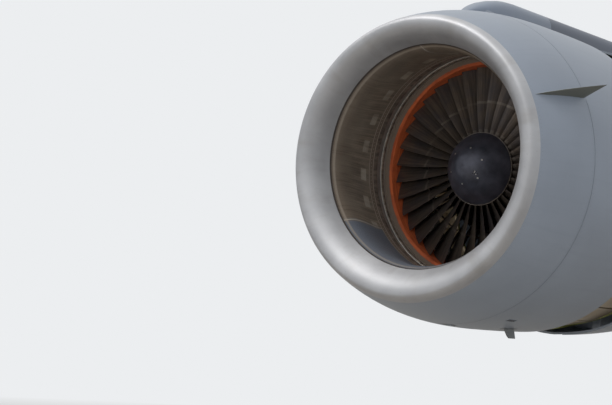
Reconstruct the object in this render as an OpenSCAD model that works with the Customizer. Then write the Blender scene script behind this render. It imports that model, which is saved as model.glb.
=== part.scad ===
// High-bypass turbofan engine in its nacelle, hung under a pylon, with a
// cascade thrust reverser shown deployed. The engine axis runs along Y, from
// the inlet to the exhaust. The origin is the wing pad on top of the pylon.

/* [Fan] */
// Radius at the fan blade tips
fan_tip_r = 996; // [970:2:1030]
// Number of fan blades
fan_count = 36; // [30:1:40]
// Radius of the fan hub at the blade roots
hub_r = 345; // [320:1:360]
// Running gap between blade tips and the rub strip
tip_gap = 4; // [3:0.5:8]
// Axial room of a blade at its root
blade_chord = 235; // [200:1:260]
// Radius of the part-span shrouds
shroud_r = 650; // [560:5:720]
// Height of the spinner dome
spinner_h = 300; // [240:5:360]
// Number of exit guide vanes
vane_count = 48; // [36:2:60]

/* [Inlet] */
// Distance from the fan case face to the foremost ring of the lip
inlet_len = 1212; // [1150:2:1300]
// Radius of the foremost ring of the lip
highlight_r = 1238; // [1225:1:1250]
// Radius where the lip meets the outer skin
lip_joint_r = 1306; // [1295:1:1325]
// Distance of the lip's outer joint from the fan case face
lip_joint_y = 1128; // [1100:2:1140]
// Radius where the lip meets the inner barrel
groove_r = 1032; // [1015:1:1045]
// Distance of the lip's inner joint from the fan case face
groove_y = 985; // [950:1:1010]
// Narrowest radius of the inlet
throat_r = 990; // [975:1:1005]
// Distance of the throat from the fan case face
throat_y = 850; // [800:1:880]
// Wall of the acoustic barrel
barrel_t = 40; // [25:1:50]
// Wall of the nacelle skins
skin_t = 22; // [12:1:30]

/* [Nacelle] */
// Largest outer radius
nacelle_r = 1494; // [1480:1:1520]
// Station of the largest radius
nacelle_max_y = 250; // [200:5:300]
// How far the nacelle axis lies below the engine axis
nacelle_drop = 32; // [0:1:36]
// Seam between the inlet and the fan cowls, ahead of the fan case face
seam_y = 440; // [400:2:520]
// Aft edge of the fan cowls
cowl_aft_y = 930; // [900:2:936]
// Gap along the cowl seams
seam_gap = 5; // [3:1:8]

/* [Reverser] */
// Travel of the translating sleeves
sleeve_travel = 780; // [740:5:800]
// Front edge of a stowed sleeve
sleeve_y = 942; // [942:1:960]
// Aft edge of a stowed sleeve
nozzle_y = 2820; // [2700:10:2900]
// Outer radius at the fan nozzle
nozzle_r = 1200; // [1185:1:1220]
// Radius of the duct's outer wall
duct_r = 1104; // [1096:1:1112]
// How far the cascade boxes lie below the nacelle's largest radius
cascade_drop = 108; // [106:1:124]
// Depth of the cascade boxes
cascade_t = 84; // [60:1:90]
// Cascade positions on each side
cascade_count = 12; // [11:1:13]
// How many of them are open boxes, counted from the top
cascade_open = 8; // [1:1:11]
// Turning vanes in one box
cascade_vanes = 14; // [10:1:18]
// Blocker doors on each side
door_count = 4; // [4:1:4]
// Gap between a folded blocker door and the core cowl
door_clear = 16; // [12:1:40]

/* [Core] */
// Radius of the core cowl where it is widest
core_r = 745; // [725:1:750]
// Aft end of the core cowl
core_aft_y = 3040; // [3000:5:3080]
// Aft end of the core nozzle
core_nozzle_y = 3900; // [3850:5:4000]
// Exit radius of the core nozzle
core_nozzle_r = 470; // [450:1:500]
// Tip of the exhaust plug
plug_y = 4230; // [4150:10:4300]
// Radius of the low-pressure shaft
shaft_r = 55; // [45:1:60]

/* [Pylon] */
// Half width of the pylon
pylon_half = 188; // [170:1:192]
// Height of the pylon's crown above the nacelle's largest radius
crown_h = 156; // [136:1:186]
// Station of the wing pad behind the fan case face
wing_pad_y = 2950; // [2900:5:3000]
// Height of the wing pad above the pylon's crown
wing_pad_h = 50; // [40:1:90]
// Radius of the four wing bolts' holes
wing_bolt_r = 16; // [10:0.5:20]
// Spacing of the wing bolts across
wing_bolt_x = 240; // [200:2:260]
// Spacing of the wing bolts along
wing_bolt_y = 380; // [340:2:400]

/* [Fits] */
// Clearance between pieces that seat on each other
seat = 0.3; // [0.2:0.05:0.5]
// Running clearance of hinge pins, on radius
pin_gap = 0.08; // [0.03:0.01:0.1]
// Clearance of the sleeve along its beams
slide_gap = 0.6; // [0.4:0.1:0.9]

/* [Hidden] */

big = 6000;
around = 144;
$fn = 96;

crown_z = nacelle_r + crown_h;
wing_pad_z = crown_z + wing_pad_h;
cascade_r = nacelle_r - cascade_drop;

function mix(a, b, t) = a + (b - a) * t;
function ease(t) = t * t * (3 - 2 * t);
function bezier(p, t) =
    p[0] * pow(1 - t, 3) + p[1] * 3 * t * pow(1 - t, 2) + p[2] * 3 * t * t * (1 - t) + p[3] * pow(t, 3);
function reversed(list) = [for (i = [len(list) - 1:-1:0]) list[i]];

// Outer line of the nacelle: radius about the nacelle axis at a station
function skin_r(y) = y < nacelle_max_y
    ? nacelle_r - (nacelle_r - lip_joint_r) * pow((nacelle_max_y - y) / (nacelle_max_y + lip_joint_y), 2.7)
    : nacelle_r - (nacelle_r - nozzle_r) * pow((y - nacelle_max_y) / (nozzle_y - nacelle_max_y), 2.6);
function skin_line(y0, y1, n, inset = 0) =
    [for (i = [0:n]) let (y = mix(y0, y1, i / n)) [skin_r(y) - inset, y]];

// Inner line of the inlet: radius about the engine axis at a station
barrel_exit_r = fan_tip_r + 68;
barrel_exit_y = -215;
function barrel_r(y) = y < -throat_y
    ? throat_r + (groove_r - throat_r) * pow((-throat_y - y) / (groove_y - throat_y), 1.6)
    : mix(throat_r, barrel_exit_r, (1 - cos(180 * (y + throat_y) / (throat_y + barrel_exit_y))) / 2);

// Core cowl line: radius about the nacelle axis at a station
core_front_y = 662;
core_front_r = 655;
core_aft_r = 662;
core_wide_y = 1750;
function core_line_r(y) = y < core_wide_y
    ? mix(core_front_r, core_r, ease((y - core_front_y) / (core_wide_y - core_front_y)))
    : mix(core_r, core_aft_r, pow((y - core_wide_y) / (core_aft_y - core_wide_y), 2));

module placed() {
    translate([0, -wing_pad_y, -wing_pad_z]) children();
}

module on_nacelle() {
    translate([0, 0, -nacelle_drop]) children();
}

// Turns a drawing of radius and station about the Y axis. Angles are measured
// from the top towards +X
module turned(from = 0, to = 360) {
    rotate([-90, 0, 0])
        rotate_extrude(angle = to - from, start = from - 90, $fn = around) children();
}

module ring(r_in, r_out, y0, y1) {
    turned() polygon([[r_in, y0], [r_out, y0], [r_out, y1], [r_in, y1]]);
}

module rod(p, q, r) {
    d = q - p;
    translate(p)
        rotate([0, acos(d[2] / norm(d)), atan2(d[1], d[0])])
            cylinder(h = norm(d), r = r, $fn = 32);
}

// Keeps what lies beyond x_top above the axis and beyond x_bottom below it
module right_of(x_top, x_bottom) {
    intersection() {
        children();
        union() {
            translate([x_top, -big, 0]) cube([big, 2 * big, big]);
            translate([x_bottom, -big, -big]) cube([big, 2 * big, big]);
        }
    }
}

// One row of n radial blades on a thin ring that sinks into the hub, drawn as a star
// and extruded along Y
module blade_row(y, r_hub, r_tip, n, chord, t) {
    points = [for (i = [0:n - 1]) let (a = 360 * i / n, h = asin(t / 2 / r_hub), e = asin(t / 2 / r_tip))
        each [[r_hub * cos(a - h), r_hub * sin(a - h)], [r_tip * cos(a - e), r_tip * sin(a - e)],
              [r_tip * cos(a + e), r_tip * sin(a + e)], [r_hub * cos(a + h), r_hub * sin(a + h)]]];
    translate([0, y, 0]) rotate([-90, 0, 0]) linear_extrude(chord) difference() {
        polygon(points);
        circle(r = r_hub - 2, $fn = around);
    }
}

// Closed skin through rings, each given as station, radius and height of its centre
module ring_loft(rings, n) {
    count = len(rings);
    points = [for (k = [0:count - 1]) for (j = [0:n - 1])
        let (a = 360 * j / n) [rings[k][1] * sin(a), rings[k][0], rings[k][2] + rings[k][1] * cos(a)]];
    faces = [for (k = [0:count - 1]) for (j = [0:n - 1])
        let (m = (k + 1) % count, i = (j + 1) % n)
        each [[k * n + j, k * n + i, m * n + i], [k * n + j, m * n + i, m * n + j]]];
    polyhedron(points, faces, convexity = 4);
}

// Skin through outlines of equal point count. Ends that aren't flat are closed
// by a fan of triangles. A mirrored skin splits the second half of each outline
// along the other diagonal, so that thin twisted forms keep their wall
module outline_loft(outlines, flat_ends = true, mirrored = false) {
    n = len(outlines[0]);
    last = len(outlines) - 1;
    points = [for (o = outlines) each o];
    sides = [for (k = [0:last - 1]) for (j = [0:n - 1])
        let (a = k * n + j, b = k * n + (j + 1) % n)
        each mirrored && j >= n / 2
            ? [[a, b, a + n], [b, b + n, a + n]]
            : [[a, b, b + n], [a, b + n, a + n]]];
    first_end = flat_ends ? [[for (j = [n - 1:-1:0]) j]] : [for (j = [1:n - 2]) [0, j + 1, j]];
    top = last * n;
    last_end = flat_ends
        ? [[for (j = [0:n - 1]) top + j]]
        : [for (j = [1:n - 2]) [top, top + j, top + j + 1]];
    polyhedron(points, concat(first_end, sides, last_end), convexity = 4);
}

// Inlet
lip_n = 96;
lip_outer = [
    [-lip_joint_y, lip_joint_r, -nacelle_drop],
    [-lip_joint_y - 42, lip_joint_r - 17, -nacelle_drop],
    [-inlet_len, highlight_r + 36, -nacelle_drop],
    [-inlet_len, highlight_r, -nacelle_drop]
];
lip_inner = [
    [-inlet_len, highlight_r, -nacelle_drop],
    [-inlet_len, highlight_r - 100, -nacelle_drop * 0.7],
    [-groove_y - 110, groove_r + 52, -nacelle_drop * 0.2],
    [-groove_y, groove_r, 0]
];

module inlet_lip() {
    rings = concat(
        [for (i = [0:6]) bezier(lip_outer, i / 6)],
        [for (i = [1:10]) bezier(lip_inner, i / 10)],
        [[-groove_y, groove_r + barrel_t + 4, 0], [-lip_joint_y, lip_joint_r - skin_t - 6, -nacelle_drop]]
    );
    color([0.82, 0.83, 0.84]) placed() ring_loft(rings, lip_n);
}

module inlet_skin() {
    y0 = -lip_joint_y + seat;
    y1 = -seam_y;
    color([0.55, 0.59, 0.64]) placed() on_nacelle() turned()
        polygon(concat(skin_line(y0, y1, 12), reversed(skin_line(y0, y1, 12, skin_t))));
}

module inlet_barrel() {
    y0 = -groove_y + seat;
    y1 = barrel_exit_y;
    line = [for (i = [0:16]) let (y = mix(y0, y1, i / 16)) [barrel_r(y), y]];
    back = [for (p = reversed(line)) p + [barrel_t, 0]];
    color([0.38, 0.35, 0.31]) placed() turned() polygon(concat(line, back));
}

// Disc that closes the inlet at its aft end, with a land under the fan cowls' front edges
module inlet_bulkhead() {
    y1 = -seam_y - 30;
    land = skin_r(-seam_y) - skin_t - seat;
    reach = 36;
    wall = 8;
    section = [
        [900, y1 - wall], [skin_r(y1 - wall) - skin_t - seat, y1 - wall], [land, -seam_y],
        [land, -seam_y + reach], [land - wall, -seam_y + reach], [land - wall, y1], [900, y1]
    ];
    color([0.62, 0.63, 0.55]) placed() difference() {
        on_nacelle() turned() polygon(section);
        translate([0, y1 - wall - 1, 0]) rotate([-90, 0, 0])
            cylinder(h = reach + 60, r = barrel_r(y1) + barrel_t + seat, $fn = around);
    }
}

flange_y = -150;
flange_r = barrel_exit_r + barrel_t;
flange_bolts = 36;
module inlet_flange() {
    color([0.62, 0.60, 0.55]) placed() difference() {
        turned() polygon([
            [barrel_exit_r, barrel_exit_y + seat], [flange_r + 45, barrel_exit_y + seat],
            [flange_r + 45, barrel_exit_y + 18], [flange_r, barrel_exit_y + 26],
            [flange_r, flange_y], [barrel_exit_r + 2, flange_y]
        ]);
        for (i = [0:flange_bolts - 1])
            rotate([0, i * 360 / flange_bolts, 0]) translate([0, barrel_exit_y - 1, flange_r + 28])
                rotate([-90, 0, 0]) cylinder(h = 30, r = 5);
    }
}

strake_angle = 66;
strake_h = 250;
strake_t = 14;
strake_tip_h = 4;
strake_front = 45;
strake_rear = 14;
strake_rake = 18;
module strake() {
    y0 = -lip_joint_y + strake_front;
    y1 = -seam_y - strake_rear;
    steps = 8;
    root = [for (i = [0:steps]) let (y = mix(y0, y1, i / steps)) [skin_r(y) + seat, y]];
    free = [for (i = [0:steps]) let (t = i / steps, y = mix(y0, y1 - strake_rake, t))
        [skin_r(y) + seat + strake_tip_h + strake_h * pow(t, 0.92), y]];
    on_nacelle() rotate([0, strake_angle, 0]) translate([-strake_t / 2, 0, 0])
        rotate([90, 0, 90]) linear_extrude(strake_t)
            polygon([for (p = concat(root, reversed(free))) [p[1], p[0]]]);
}
module strakes() {
    color([0.36, 0.37, 0.33]) placed() {
        strake();
        mirror([1, 0, 0]) strake();
    }
}

// Fan
blade_y = 148;
strip_y = 300;
strip_r = fan_tip_r + tip_gap;
strip_t = 90;
case_in = strip_r + strip_t + seat;
case_out = case_in + 18;
case_rib = case_out + 20;
case_aft_y = 640;
duct_in = strip_r + 16;
rib_y = [340, 130];

module spinner() {
    base = 18;
    t = 9;
    dome = [for (i = [0:14]) let (u = i / 14) [sqrt(1 - pow(u, 1.15)), u]];
    outer = [for (p = dome) [hub_r * p[0], base - spinner_h * p[1]]];
    inner = [for (p = reversed(dome)) [(hub_r - t) * p[0], base - (spinner_h - t) * p[1]]];
    color([0.05, 0.055, 0.07]) placed() turned() polygon(concat(outer, inner));
}

disc_y1 = 276;
module fan_disc() {
    bore = shaft_r + seat;
    color([0.45, 0.45, 0.46]) placed() turned() polygon([
        [bore, 60], [bore + 30, 60], [bore + 34, 90], [hub_r - 70, 90], [hub_r - 60, 18 + seat],
        [hub_r, 18 + seat], [hub_r, disc_y1], [hub_r - 60, disc_y1], [hub_r - 70, 160],
        [bore + 60, 160], [bore + 24, 240], [bore, 240]
    ]);
}

platform_t = 6;
// Fan blade as sections stacked along the radius: radius, chord, stagger, thickness, camber
blade_sections = [
    [0.0, 1.00, 18, 26, 26],
    [0.2, 1.02, 30, 21, 24],
    [0.45, 1.04, 42, 16, 18],
    [0.7, 1.08, 52, 12, 12],
    [0.88, 1.10, 57, 9, 8],
    [1.0, 1.10, 60, 7, 6]
];
function section_points(s) =
    let (
        z = mix(hub_r + seat + platform_t * 0.6, fan_tip_r, s[0]),
        chord = blade_chord * s[1] / cos(s[2] * 0.35),
        along = [0, 0.25, 0.6, 1, 0.6, 0.25],
        side = [0, -1, -0.9, 0, 0.9, 1]
    )
    [for (k = [0:5])
        let (
            a = chord * (along[k] - 0.5),
            n = s[4] * 4 * along[k] * (1 - along[k]) + side[k] * s[3] / 2,
            x = a * sin(s[2]) + n * cos(s[2])
        )
        [x, blade_y + a * cos(s[2]) - n * sin(s[2]), sqrt(z * z - x * x)]];

module blade_airfoil() {
    outline_loft([for (s = blade_sections) section_points(s)], flat_ends = false, mirrored = true);
}

// Platform at a blade's root, slanted like the root, with a gap to its neighbours
module blade_platform() {
    y0 = 24;
    y1 = disc_y1 - 2;
    stagger = blade_sections[0][2];
    camber = blade_sections[0][4];
    half = hub_r * sin(180 / fan_count) - 0.9;
    line = [for (y = [y0, y1]) (y - blade_y) * tan(stagger) + camber * 0.65];
    intersection() {
        turned(-20, 20) polygon([
            [hub_r + seat, y0], [hub_r + seat + platform_t, y0],
            [hub_r + seat + platform_t, y1], [hub_r + seat, y1]
        ]);
        linear_extrude(hub_r * 2) polygon([
            [line[0] - half, y0], [line[0] + half, y0], [line[1] + half, y1], [line[1] - half, y1]
        ]);
    }
}

// Half shrouds on both faces of a blade, which nearly meet those of its neighbours
module part_span_shroud() {
    reach = (shroud_r - 13) * tan(180 / fan_count) - 0.3;
    translate([0, blade_y, shroud_r]) rotate([12, 0, 0])
        translate([-reach, -34, -5]) cube([2 * reach, 68, 10]);
}

module fan_blades() {
    color([0.16, 0.17, 0.2]) placed()
        for (i = [0:fan_count - 1])
            rotate([0, 360 * i / fan_count, 0]) {
                blade_airfoil();
                blade_platform();
                part_span_shroud();
            }
}

module fan_rub_strip() {
    lead = 70;
    color([0.62, 0.3, 0.13]) placed() turned() polygon([
        [strip_r + lead, 0], [strip_r + 4, 24], [strip_r, 40], [strip_r, strip_y],
        [strip_r + strip_t, strip_y], [strip_r + strip_t, 0]
    ]);
}

module fan_case() {
    lip = barrel_exit_r + 9;
    color([0.5, 0.51, 0.5]) placed() difference() {
        turned() polygon(concat(
            [
                [lip + 13, flange_y + seat], [lip + 13, -64], [lip, -58], [lip, -seat], [case_in, -seat],
                [case_in, strip_y + seat], [duct_in, strip_y + seat], [duct_in + 3, case_aft_y],
                [case_rib + 10, case_aft_y], [case_rib + 10, case_aft_y - 18], [case_out, case_aft_y - 24]
            ],
            [for (y = rib_y) each
                [[case_out, y + 12], [case_rib, y + 6], [case_rib, y - 6], [case_out, y - 12]]],
            [[case_out, flange_y + 34], [case_rib + 20, flange_y + 22], [case_rib + 20, flange_y + seat]]
        ));
        for (i = [0:flange_bolts - 1])
            rotate([0, i * 360 / flange_bolts, 0]) translate([0, flange_y - 1, flange_r + 28])
                rotate([-90, 0, 0]) cylinder(h = 40, r = 5);
    }
}

vane_y0 = 392;
vane_y1 = 492;
hub_out = 588;
module guide_vanes() {
    profile = [[-16, 0], [6, 18], [14, 46], [12, 92], [8, 92], [6, 46], [-4, 20], [-20, 2]];
    color([0.6, 0.61, 0.62]) placed() {
        ring(hub_out + seat, hub_out + 9, vane_y0 - 8, vane_y1 + 8);
        ring(duct_in - 9, duct_in - seat, vane_y0 - 8, vane_y1 + 8);
        for (i = [0:vane_count - 1])
            rotate([0, 360 * i / vane_count, 0]) translate([0, vane_y0, hub_out + 5])
                linear_extrude(duct_in - hub_out - 10) polygon(profile);
    }
}

frame_aft_y = 780;
hub_aft_y = 762;
hub_rim = 14;
strut_count = 8;
module fan_frame() {
    strut_y0 = 512;
    strut_len = 108;
    inner_r = 330;
    color([0.56, 0.57, 0.56]) placed() {
        turned() polygon([
            [hub_out - 12, 331], [hub_out, 352], [hub_out, 700], [hub_out + hub_rim, 706],
            [hub_out + hub_rim, hub_aft_y - 2], [hub_out - 90, hub_aft_y], [445, frame_aft_y],
            [410, frame_aft_y], [410, hub_aft_y], [470, 640], [525, 500], [552, 400]
        ]);
        turned() polygon([
            [inner_r - 60, 590], [inner_r, 590], [inner_r - 22, frame_aft_y - 40], [165, frame_aft_y - 40],
            [165, 700], [132 + seat, 700], [132 + seat, 640], [inner_r - 60, 640]
        ]);
        ring(duct_in - 9, duct_in + 1 - seat, strut_y0 - 8, strut_y0 + strut_len + 8);
        for (i = [0:strut_count - 1])
            rotate([0, 360 * (i + 0.5) / strut_count, 0]) {
                translate([0, strut_y0, hub_out - 3]) linear_extrude(duct_in - hub_out - 2)
                    polygon([
                        [-2, 0], [2, 0], [14, 30], [14, 74],
                        [2, strut_len], [-2, strut_len], [-14, 74], [-14, 30]
                    ]);
                translate([0, 620, inner_r - 12]) linear_extrude(165)
                    polygon([[-2, 0], [2, 0], [11, 22], [9, 60], [0, 90], [-9, 60], [-11, 22]]);
            }
    }
}

// Rotors
module booster_rotor() {
    color([0.5, 0.5, 0.52]) placed() {
        turned() polygon([
            [hub_r - 50, disc_y1 + seat], [hub_r + 2, disc_y1 + seat], [hub_r + 51, disc_y1 + 46],
            [hub_r + 67, disc_y1 + 124], [hub_r + 53, disc_y1 + 244], [hub_r + 35, disc_y1 + 244],
            [hub_r + 47, disc_y1 + 124], [hub_r + 33, disc_y1 + 54], [hub_r - 20, disc_y1 + 20],
            [hub_r - 50, disc_y1 + 20]
        ]);
        for (k = [0:2])
            blade_row(352 + 56 * k, 394, 548 - 14 * k, 44, 26, 5);
    }
}

shaft_y1 = 2790;
module shaft() {
    color([0.6, 0.6, 0.62]) placed() difference() {
        union() {
            ring(1, shaft_r, 40, shaft_y1);
            ring(1, shaft_r + 26, 250, 300);
            ring(1, shaft_r + 26, shaft_y1 - 180, shaft_y1 - 130);
        }
        translate([0, 30, 0]) rotate([-90, 0, 0]) cylinder(h = shaft_y1, r = shaft_r - 16);
    }
}

low_y0 = 2130;
low_rows = 5;
low_pitch = 118;
low_hub = 346;
low_len = 620;
low_wall_r = 430;
// Inner radius of the low turbine's case at a station
function turbine_wall(y) = mix(low_wall_r, rim_r - 36, (y - low_y0 - 6) / (low_len - 6));

module low_turbine() {
    color([0.46, 0.44, 0.42]) placed() {
        turned() polygon([
            [shaft_r + seat, low_y0 + 430], [shaft_r + 40, low_y0 + 430], [low_hub + 4, low_y0 + 330],
            [low_hub - 10, low_y0], [low_hub + 4, low_y0], [low_hub + 58, low_y0 + 560],
            [low_hub + 42, low_y0 + 560], [low_hub + 20, low_y0 + 370], [shaft_r + 44, low_y0 + 478],
            [shaft_r + seat, low_y0 + 478]
        ]);
        for (k = [0:low_rows - 1]) {
            y = low_y0 + 14 + low_pitch * k;
            blade_row(y, low_hub + 10 * k, turbine_wall(y) - 3, 40, 46, 7);
        }
    }
}

comp_y0 = 800;
comp_y1 = 1490;
comp_rows = 7;
tube_r = 96;
module compressor_rotor() {
    pitch = (comp_y1 - comp_y0) / comp_rows;
    color([0.55, 0.56, 0.58]) placed() {
        turned() polygon([
            [tube_r - 16, comp_y0 - 94], [tube_r, comp_y0 - 94], [tube_r, comp_y0 - 40], [262, comp_y0],
            [332, comp_y1], [tube_r - 16, comp_y1], [tube_r - 16, comp_y1 - 30], [300, comp_y1 - 30],
            [238, comp_y0 + 24], [tube_r - 16, comp_y0 - 22]
        ]);
        for (k = [0:comp_rows - 1])
            blade_row(comp_y0 + 16 + pitch * k, 258 + 9 * k, 396 - 4.5 * k, 36, 34, 5);
    }
}

burner_aft_y = 1884;
high_y0 = burner_aft_y + 16;
module high_turbine() {
    color([0.5, 0.46, 0.42]) placed() {
        turned() polygon([
            [tube_r - 16, comp_y1 + seat], [tube_r, comp_y1 + seat], [tube_r, high_y0], [282, high_y0],
            [286, high_y0 + 190], [tube_r - 16, high_y0 + 190]
        ]);
        for (k = [0:1])
            blade_row(high_y0 + 18 + 92 * k, 278, 384 + 4 * k, 44, 48, 8);
    }
}

rear_bearing_r = 120;
module bearings() {
    front = 660;
    rear = shaft_y1 - 70;
    core = 706;
    color([0.7, 0.7, 0.72]) placed() {
        ring(shaft_r + pin_gap, 132, front - 18, front + 18);
        ring(tube_r + pin_gap, 165 - seat, core + 2, core + 32);
        ring(shaft_r + pin_gap, rear_bearing_r, rear, rear + 40);
    }
}

// Core
module compressor_case() {
    color([0.58, 0.58, 0.56]) placed() turned() polygon([
        [410, frame_aft_y + seat], [455, frame_aft_y + seat], [455, frame_aft_y + 12],
        [424, frame_aft_y + 18], [386, comp_y1 - 18], [414, comp_y1 - 12], [414, comp_y1], [371, comp_y1]
    ]);
}

nozzle_count = 16;
nozzle_fuel_y = 1590;
burner_r = 452;
module combustor_case() {
    color([0.55, 0.5, 0.43]) placed() difference() {
        turned() polygon([
            [371, comp_y1 + seat], [414, comp_y1 + seat], [414, comp_y1 + 12], [390, comp_y1 + 16],
            [burner_r, comp_y1 + 70], [burner_r, burner_aft_y - 22], [430, burner_aft_y - 12],
            [430, burner_aft_y], [392, burner_aft_y], [392, burner_aft_y - 12], [416, burner_aft_y - 24],
            [burner_r - 12, burner_aft_y - 34], [burner_r - 12, comp_y1 + 76], [374, comp_y1 + 20]
        ]);
        for (i = [0:nozzle_count - 1])
            rotate([0, 360 * (i + 0.5) / nozzle_count, 0]) translate([0, nozzle_fuel_y, burner_r - 60])
                cylinder(h = 120, r = 11);
    }
}

liner_in = 258;
liner_out = 404;
module combustor_liner() {
    t = 5;
    y0 = comp_y1 + 78;
    y1 = burner_aft_y - 16;
    color([0.42, 0.36, 0.3]) placed() difference() {
        turned() polygon([
            [liner_in + 40, y0], [liner_out - 30, y0], [liner_out, y0 + 50],
            [liner_out, y1 - 60], [liner_out - 14, y1], [liner_out - 14 - t, y1],
            [liner_out - t, y1 - 60], [liner_out - t, y0 + 50], [liner_out - 32, y0 + t],
            [liner_in + 42, y0 + t], [liner_in + t, y0 + 50], [liner_in + t, y1 - 60],
            [liner_in + 22 + t, y1], [liner_in + 22, y1], [liner_in, y1 - 60], [liner_in, y0 + 50]
        ]);
        for (i = [0:nozzle_count - 1])
            rotate([0, 360 * (i + 0.5) / nozzle_count, 0]) translate([0, nozzle_fuel_y, liner_out - 60])
                cylinder(h = 90, r = 11);
    }
}

module fuel_manifold() {
    pipe = 9;
    ring_r = burner_r + 34;
    color([0.68, 0.68, 0.66]) placed() {
        turned() translate([ring_r, nozzle_fuel_y]) circle(r = pipe, $fn = 24);
        for (i = [0:nozzle_count - 1])
            rotate([0, 360 * (i + 0.5) / nozzle_count, 0]) translate([0, nozzle_fuel_y, 0]) {
                translate([0, 0, burner_r + seat]) cylinder(h = 12, r = 20);
                translate([0, 0, liner_out - 70]) cylinder(h = ring_r - liner_out + 70, r = 11 - seat);
            }
    }
}

// Outer radius of the flanges behind the turbines
rim_r = 606;
turbine_aft_y = low_y0 + low_len;
module turbine_case() {
    color([0.5, 0.46, 0.4]) placed() turned() polygon([
        [392, burner_aft_y + seat], [430, burner_aft_y + seat], [430, burner_aft_y + 12],
        [408, burner_aft_y + 18], [408, low_y0 - 34], [446, low_y0], [rim_r - 20, turbine_aft_y - 14],
        [rim_r, turbine_aft_y - 12], [rim_r, turbine_aft_y], [rim_r - 36, turbine_aft_y],
        [low_wall_r, low_y0 + 6],
        [394, low_y0 - 30], [394, burner_aft_y + 16]
    ]);
}

exhaust_aft_y = core_aft_y - 4;
hub_aft_r = 330;
exhaust_struts = 10;
exhaust_strut_y = exhaust_aft_y - 206;
module exhaust_case() {
    hub_y = turbine_aft_y - 38;
    reach = rim_r - hub_aft_r - 17;
    pitch = 360 / exhaust_struts;
    color([0.52, 0.48, 0.42]) placed() {
        turned() polygon([
            [rim_r - 36, turbine_aft_y + seat], [rim_r, turbine_aft_y + seat], [rim_r, turbine_aft_y + 12],
            [rim_r - 18, turbine_aft_y + 18], [rim_r - 12, exhaust_aft_y - 12], [rim_r, exhaust_aft_y - 12],
            [rim_r, exhaust_aft_y], [rim_r - 28, exhaust_aft_y], [rim_r - 34, turbine_aft_y + 10]
        ]);
        turned() polygon([
            [rear_bearing_r + seat, hub_y], [rear_bearing_r + 30, hub_y], [hub_aft_r, hub_y + 78],
            [hub_aft_r, exhaust_aft_y], [hub_aft_r - 40, exhaust_aft_y], [hub_aft_r - 40, exhaust_aft_y - 10],
            [hub_aft_r - 10, exhaust_aft_y - 10], [hub_aft_r - 10, hub_y + 88],
            [rear_bearing_r + 20, hub_y + 56], [rear_bearing_r + seat, hub_y + 56]
        ]);
        for (i = [0:exhaust_struts - 1])
            rotate([0, pitch * (i + 0.5), 0]) translate([0, exhaust_strut_y, hub_aft_r - 6])
                linear_extrude(reach)
                    polygon([[-2, 0], [2, 0], [11, 30], [9, 90], [0, 150], [-9, 90], [-11, 30]]);
    }
}

module core_nozzle() {
    t = 12;
    y0 = exhaust_aft_y + seat;
    line = [for (i = [0:8]) let (u = i / 8)
        [mix(rim_r - 12, core_nozzle_r, pow(u, 1.4)), mix(y0 + 12, core_nozzle_y, u)]];
    color([0.56, 0.52, 0.47]) placed() turned() polygon(concat(
        [[rim_r - 28, y0], [rim_r, y0], [rim_r, y0 + 10]], line, [for (p = reversed(line)) p - [t, 0]]
    ));
}

module exhaust_plug() {
    t = 10;
    y0 = exhaust_aft_y + seat;
    shape = [for (i = [0:10]) let (u = i / 10) [1 - pow(u, 1.5), u]];
    outer = [for (p = shape) [hub_aft_r * p[0] + 0.2, mix(y0, plug_y, p[1])]];
    inner = [for (i = [9:-1:0]) let (p = shape[i]) [(hub_aft_r - t) * p[0], mix(y0, plug_y - 40, p[1])]];
    color([0.5, 0.47, 0.43]) placed() turned() polygon(concat(outer, [[0, plug_y], [0, plug_y - 60]], inner));
}

// Accessories under the fan case
box_r = case_rib + seat;
box_y0 = 110;
box_y1 = 352;
module at_clock(angle, r, y) {
    rotate([0, angle, 0]) translate([0, y, r]) children();
}

module gearbox() {
    color([0.45, 0.46, 0.45]) placed() {
        turned(152, 208) polygon([
            [box_r, box_y0], [box_r + 24, box_y0 - 8], [box_r + 150, box_y0], [box_r + 168, box_y0 + 30],
            [box_r + 168, box_y1 - 30], [box_r + 150, box_y1], [box_r, box_y1]
        ]);
        for (a = [160, 176, 190])
            at_clock(a, box_r + 86, box_y1 - 4) rotate([-90, 0, 0]) cylinder(h = 22, r = 66);
        at_clock(182, box_r + 86, box_y0 - 12) rotate([-90, 0, 0]) cylinder(h = 22, r = 62);
    }
}

module starter() {
    y0 = box_y1 + 18 + seat;
    color([0.6, 0.6, 0.6]) placed() at_clock(160, box_r + 86, y0) rotate([-90, 0, 0]) rotate_extrude()
        polygon([
            [0, 0], [70, 0], [70, 14], [56, 18], [62, 60], [86, 80], [86, 150], [60, 176], [44, 232], [0, 232]
        ]);
}

module generator() {
    y0 = box_y1 + 18 + seat;
    color([0.35, 0.36, 0.36]) placed() at_clock(190, box_r + 86, y0) rotate([-90, 0, 0]) rotate_extrude()
        polygon([[0, 0], [70, 0], [70, 14], [64, 18], [64, 40], [84, 46], [84, 220], [66, 236], [0, 236]]);
}

module fuel_pump() {
    y0 = box_y0 - 12 - seat;
    color([0.64, 0.62, 0.55]) placed() at_clock(182, box_r + 86, y0 - 128) {
        rotate([-90, 0, 0]) cylinder(h = 128, r = 58);
        translate([-90, 22, -34]) cube([180, 76, 68]);
    }
}

module oil_tank() {
    color([0.62, 0.63, 0.6]) placed() {
        turned(74, 108) polygon([
            [box_r, 90], [box_r + 120, 90], [box_r + 140, 110],
            [box_r + 140, 330], [box_r + 120, box_y1], [box_r, box_y1]
        ]);
        at_clock(79, box_r + 132, 220) cylinder(h = 36, r = 34);
    }
}

// Pylon
beam_half = 130;
beam_nose_half = 110;
beam_z0 = 770;
beam_z1 = nacelle_r - 164;
beam_front_z = nacelle_r - 98;
beam_nose_z = case_rib + 52;
beam_y0 = 690;
beam_y1 = wing_pad_y + 470;
fairing_y0 = cowl_aft_y + 6;
fairing_y1 = beam_y1 - 20;
pad_half_x = 165;
pad_half_y = 245;
pad_t = 38;
post_half_x = 85;
post_half_y = 190;

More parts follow.
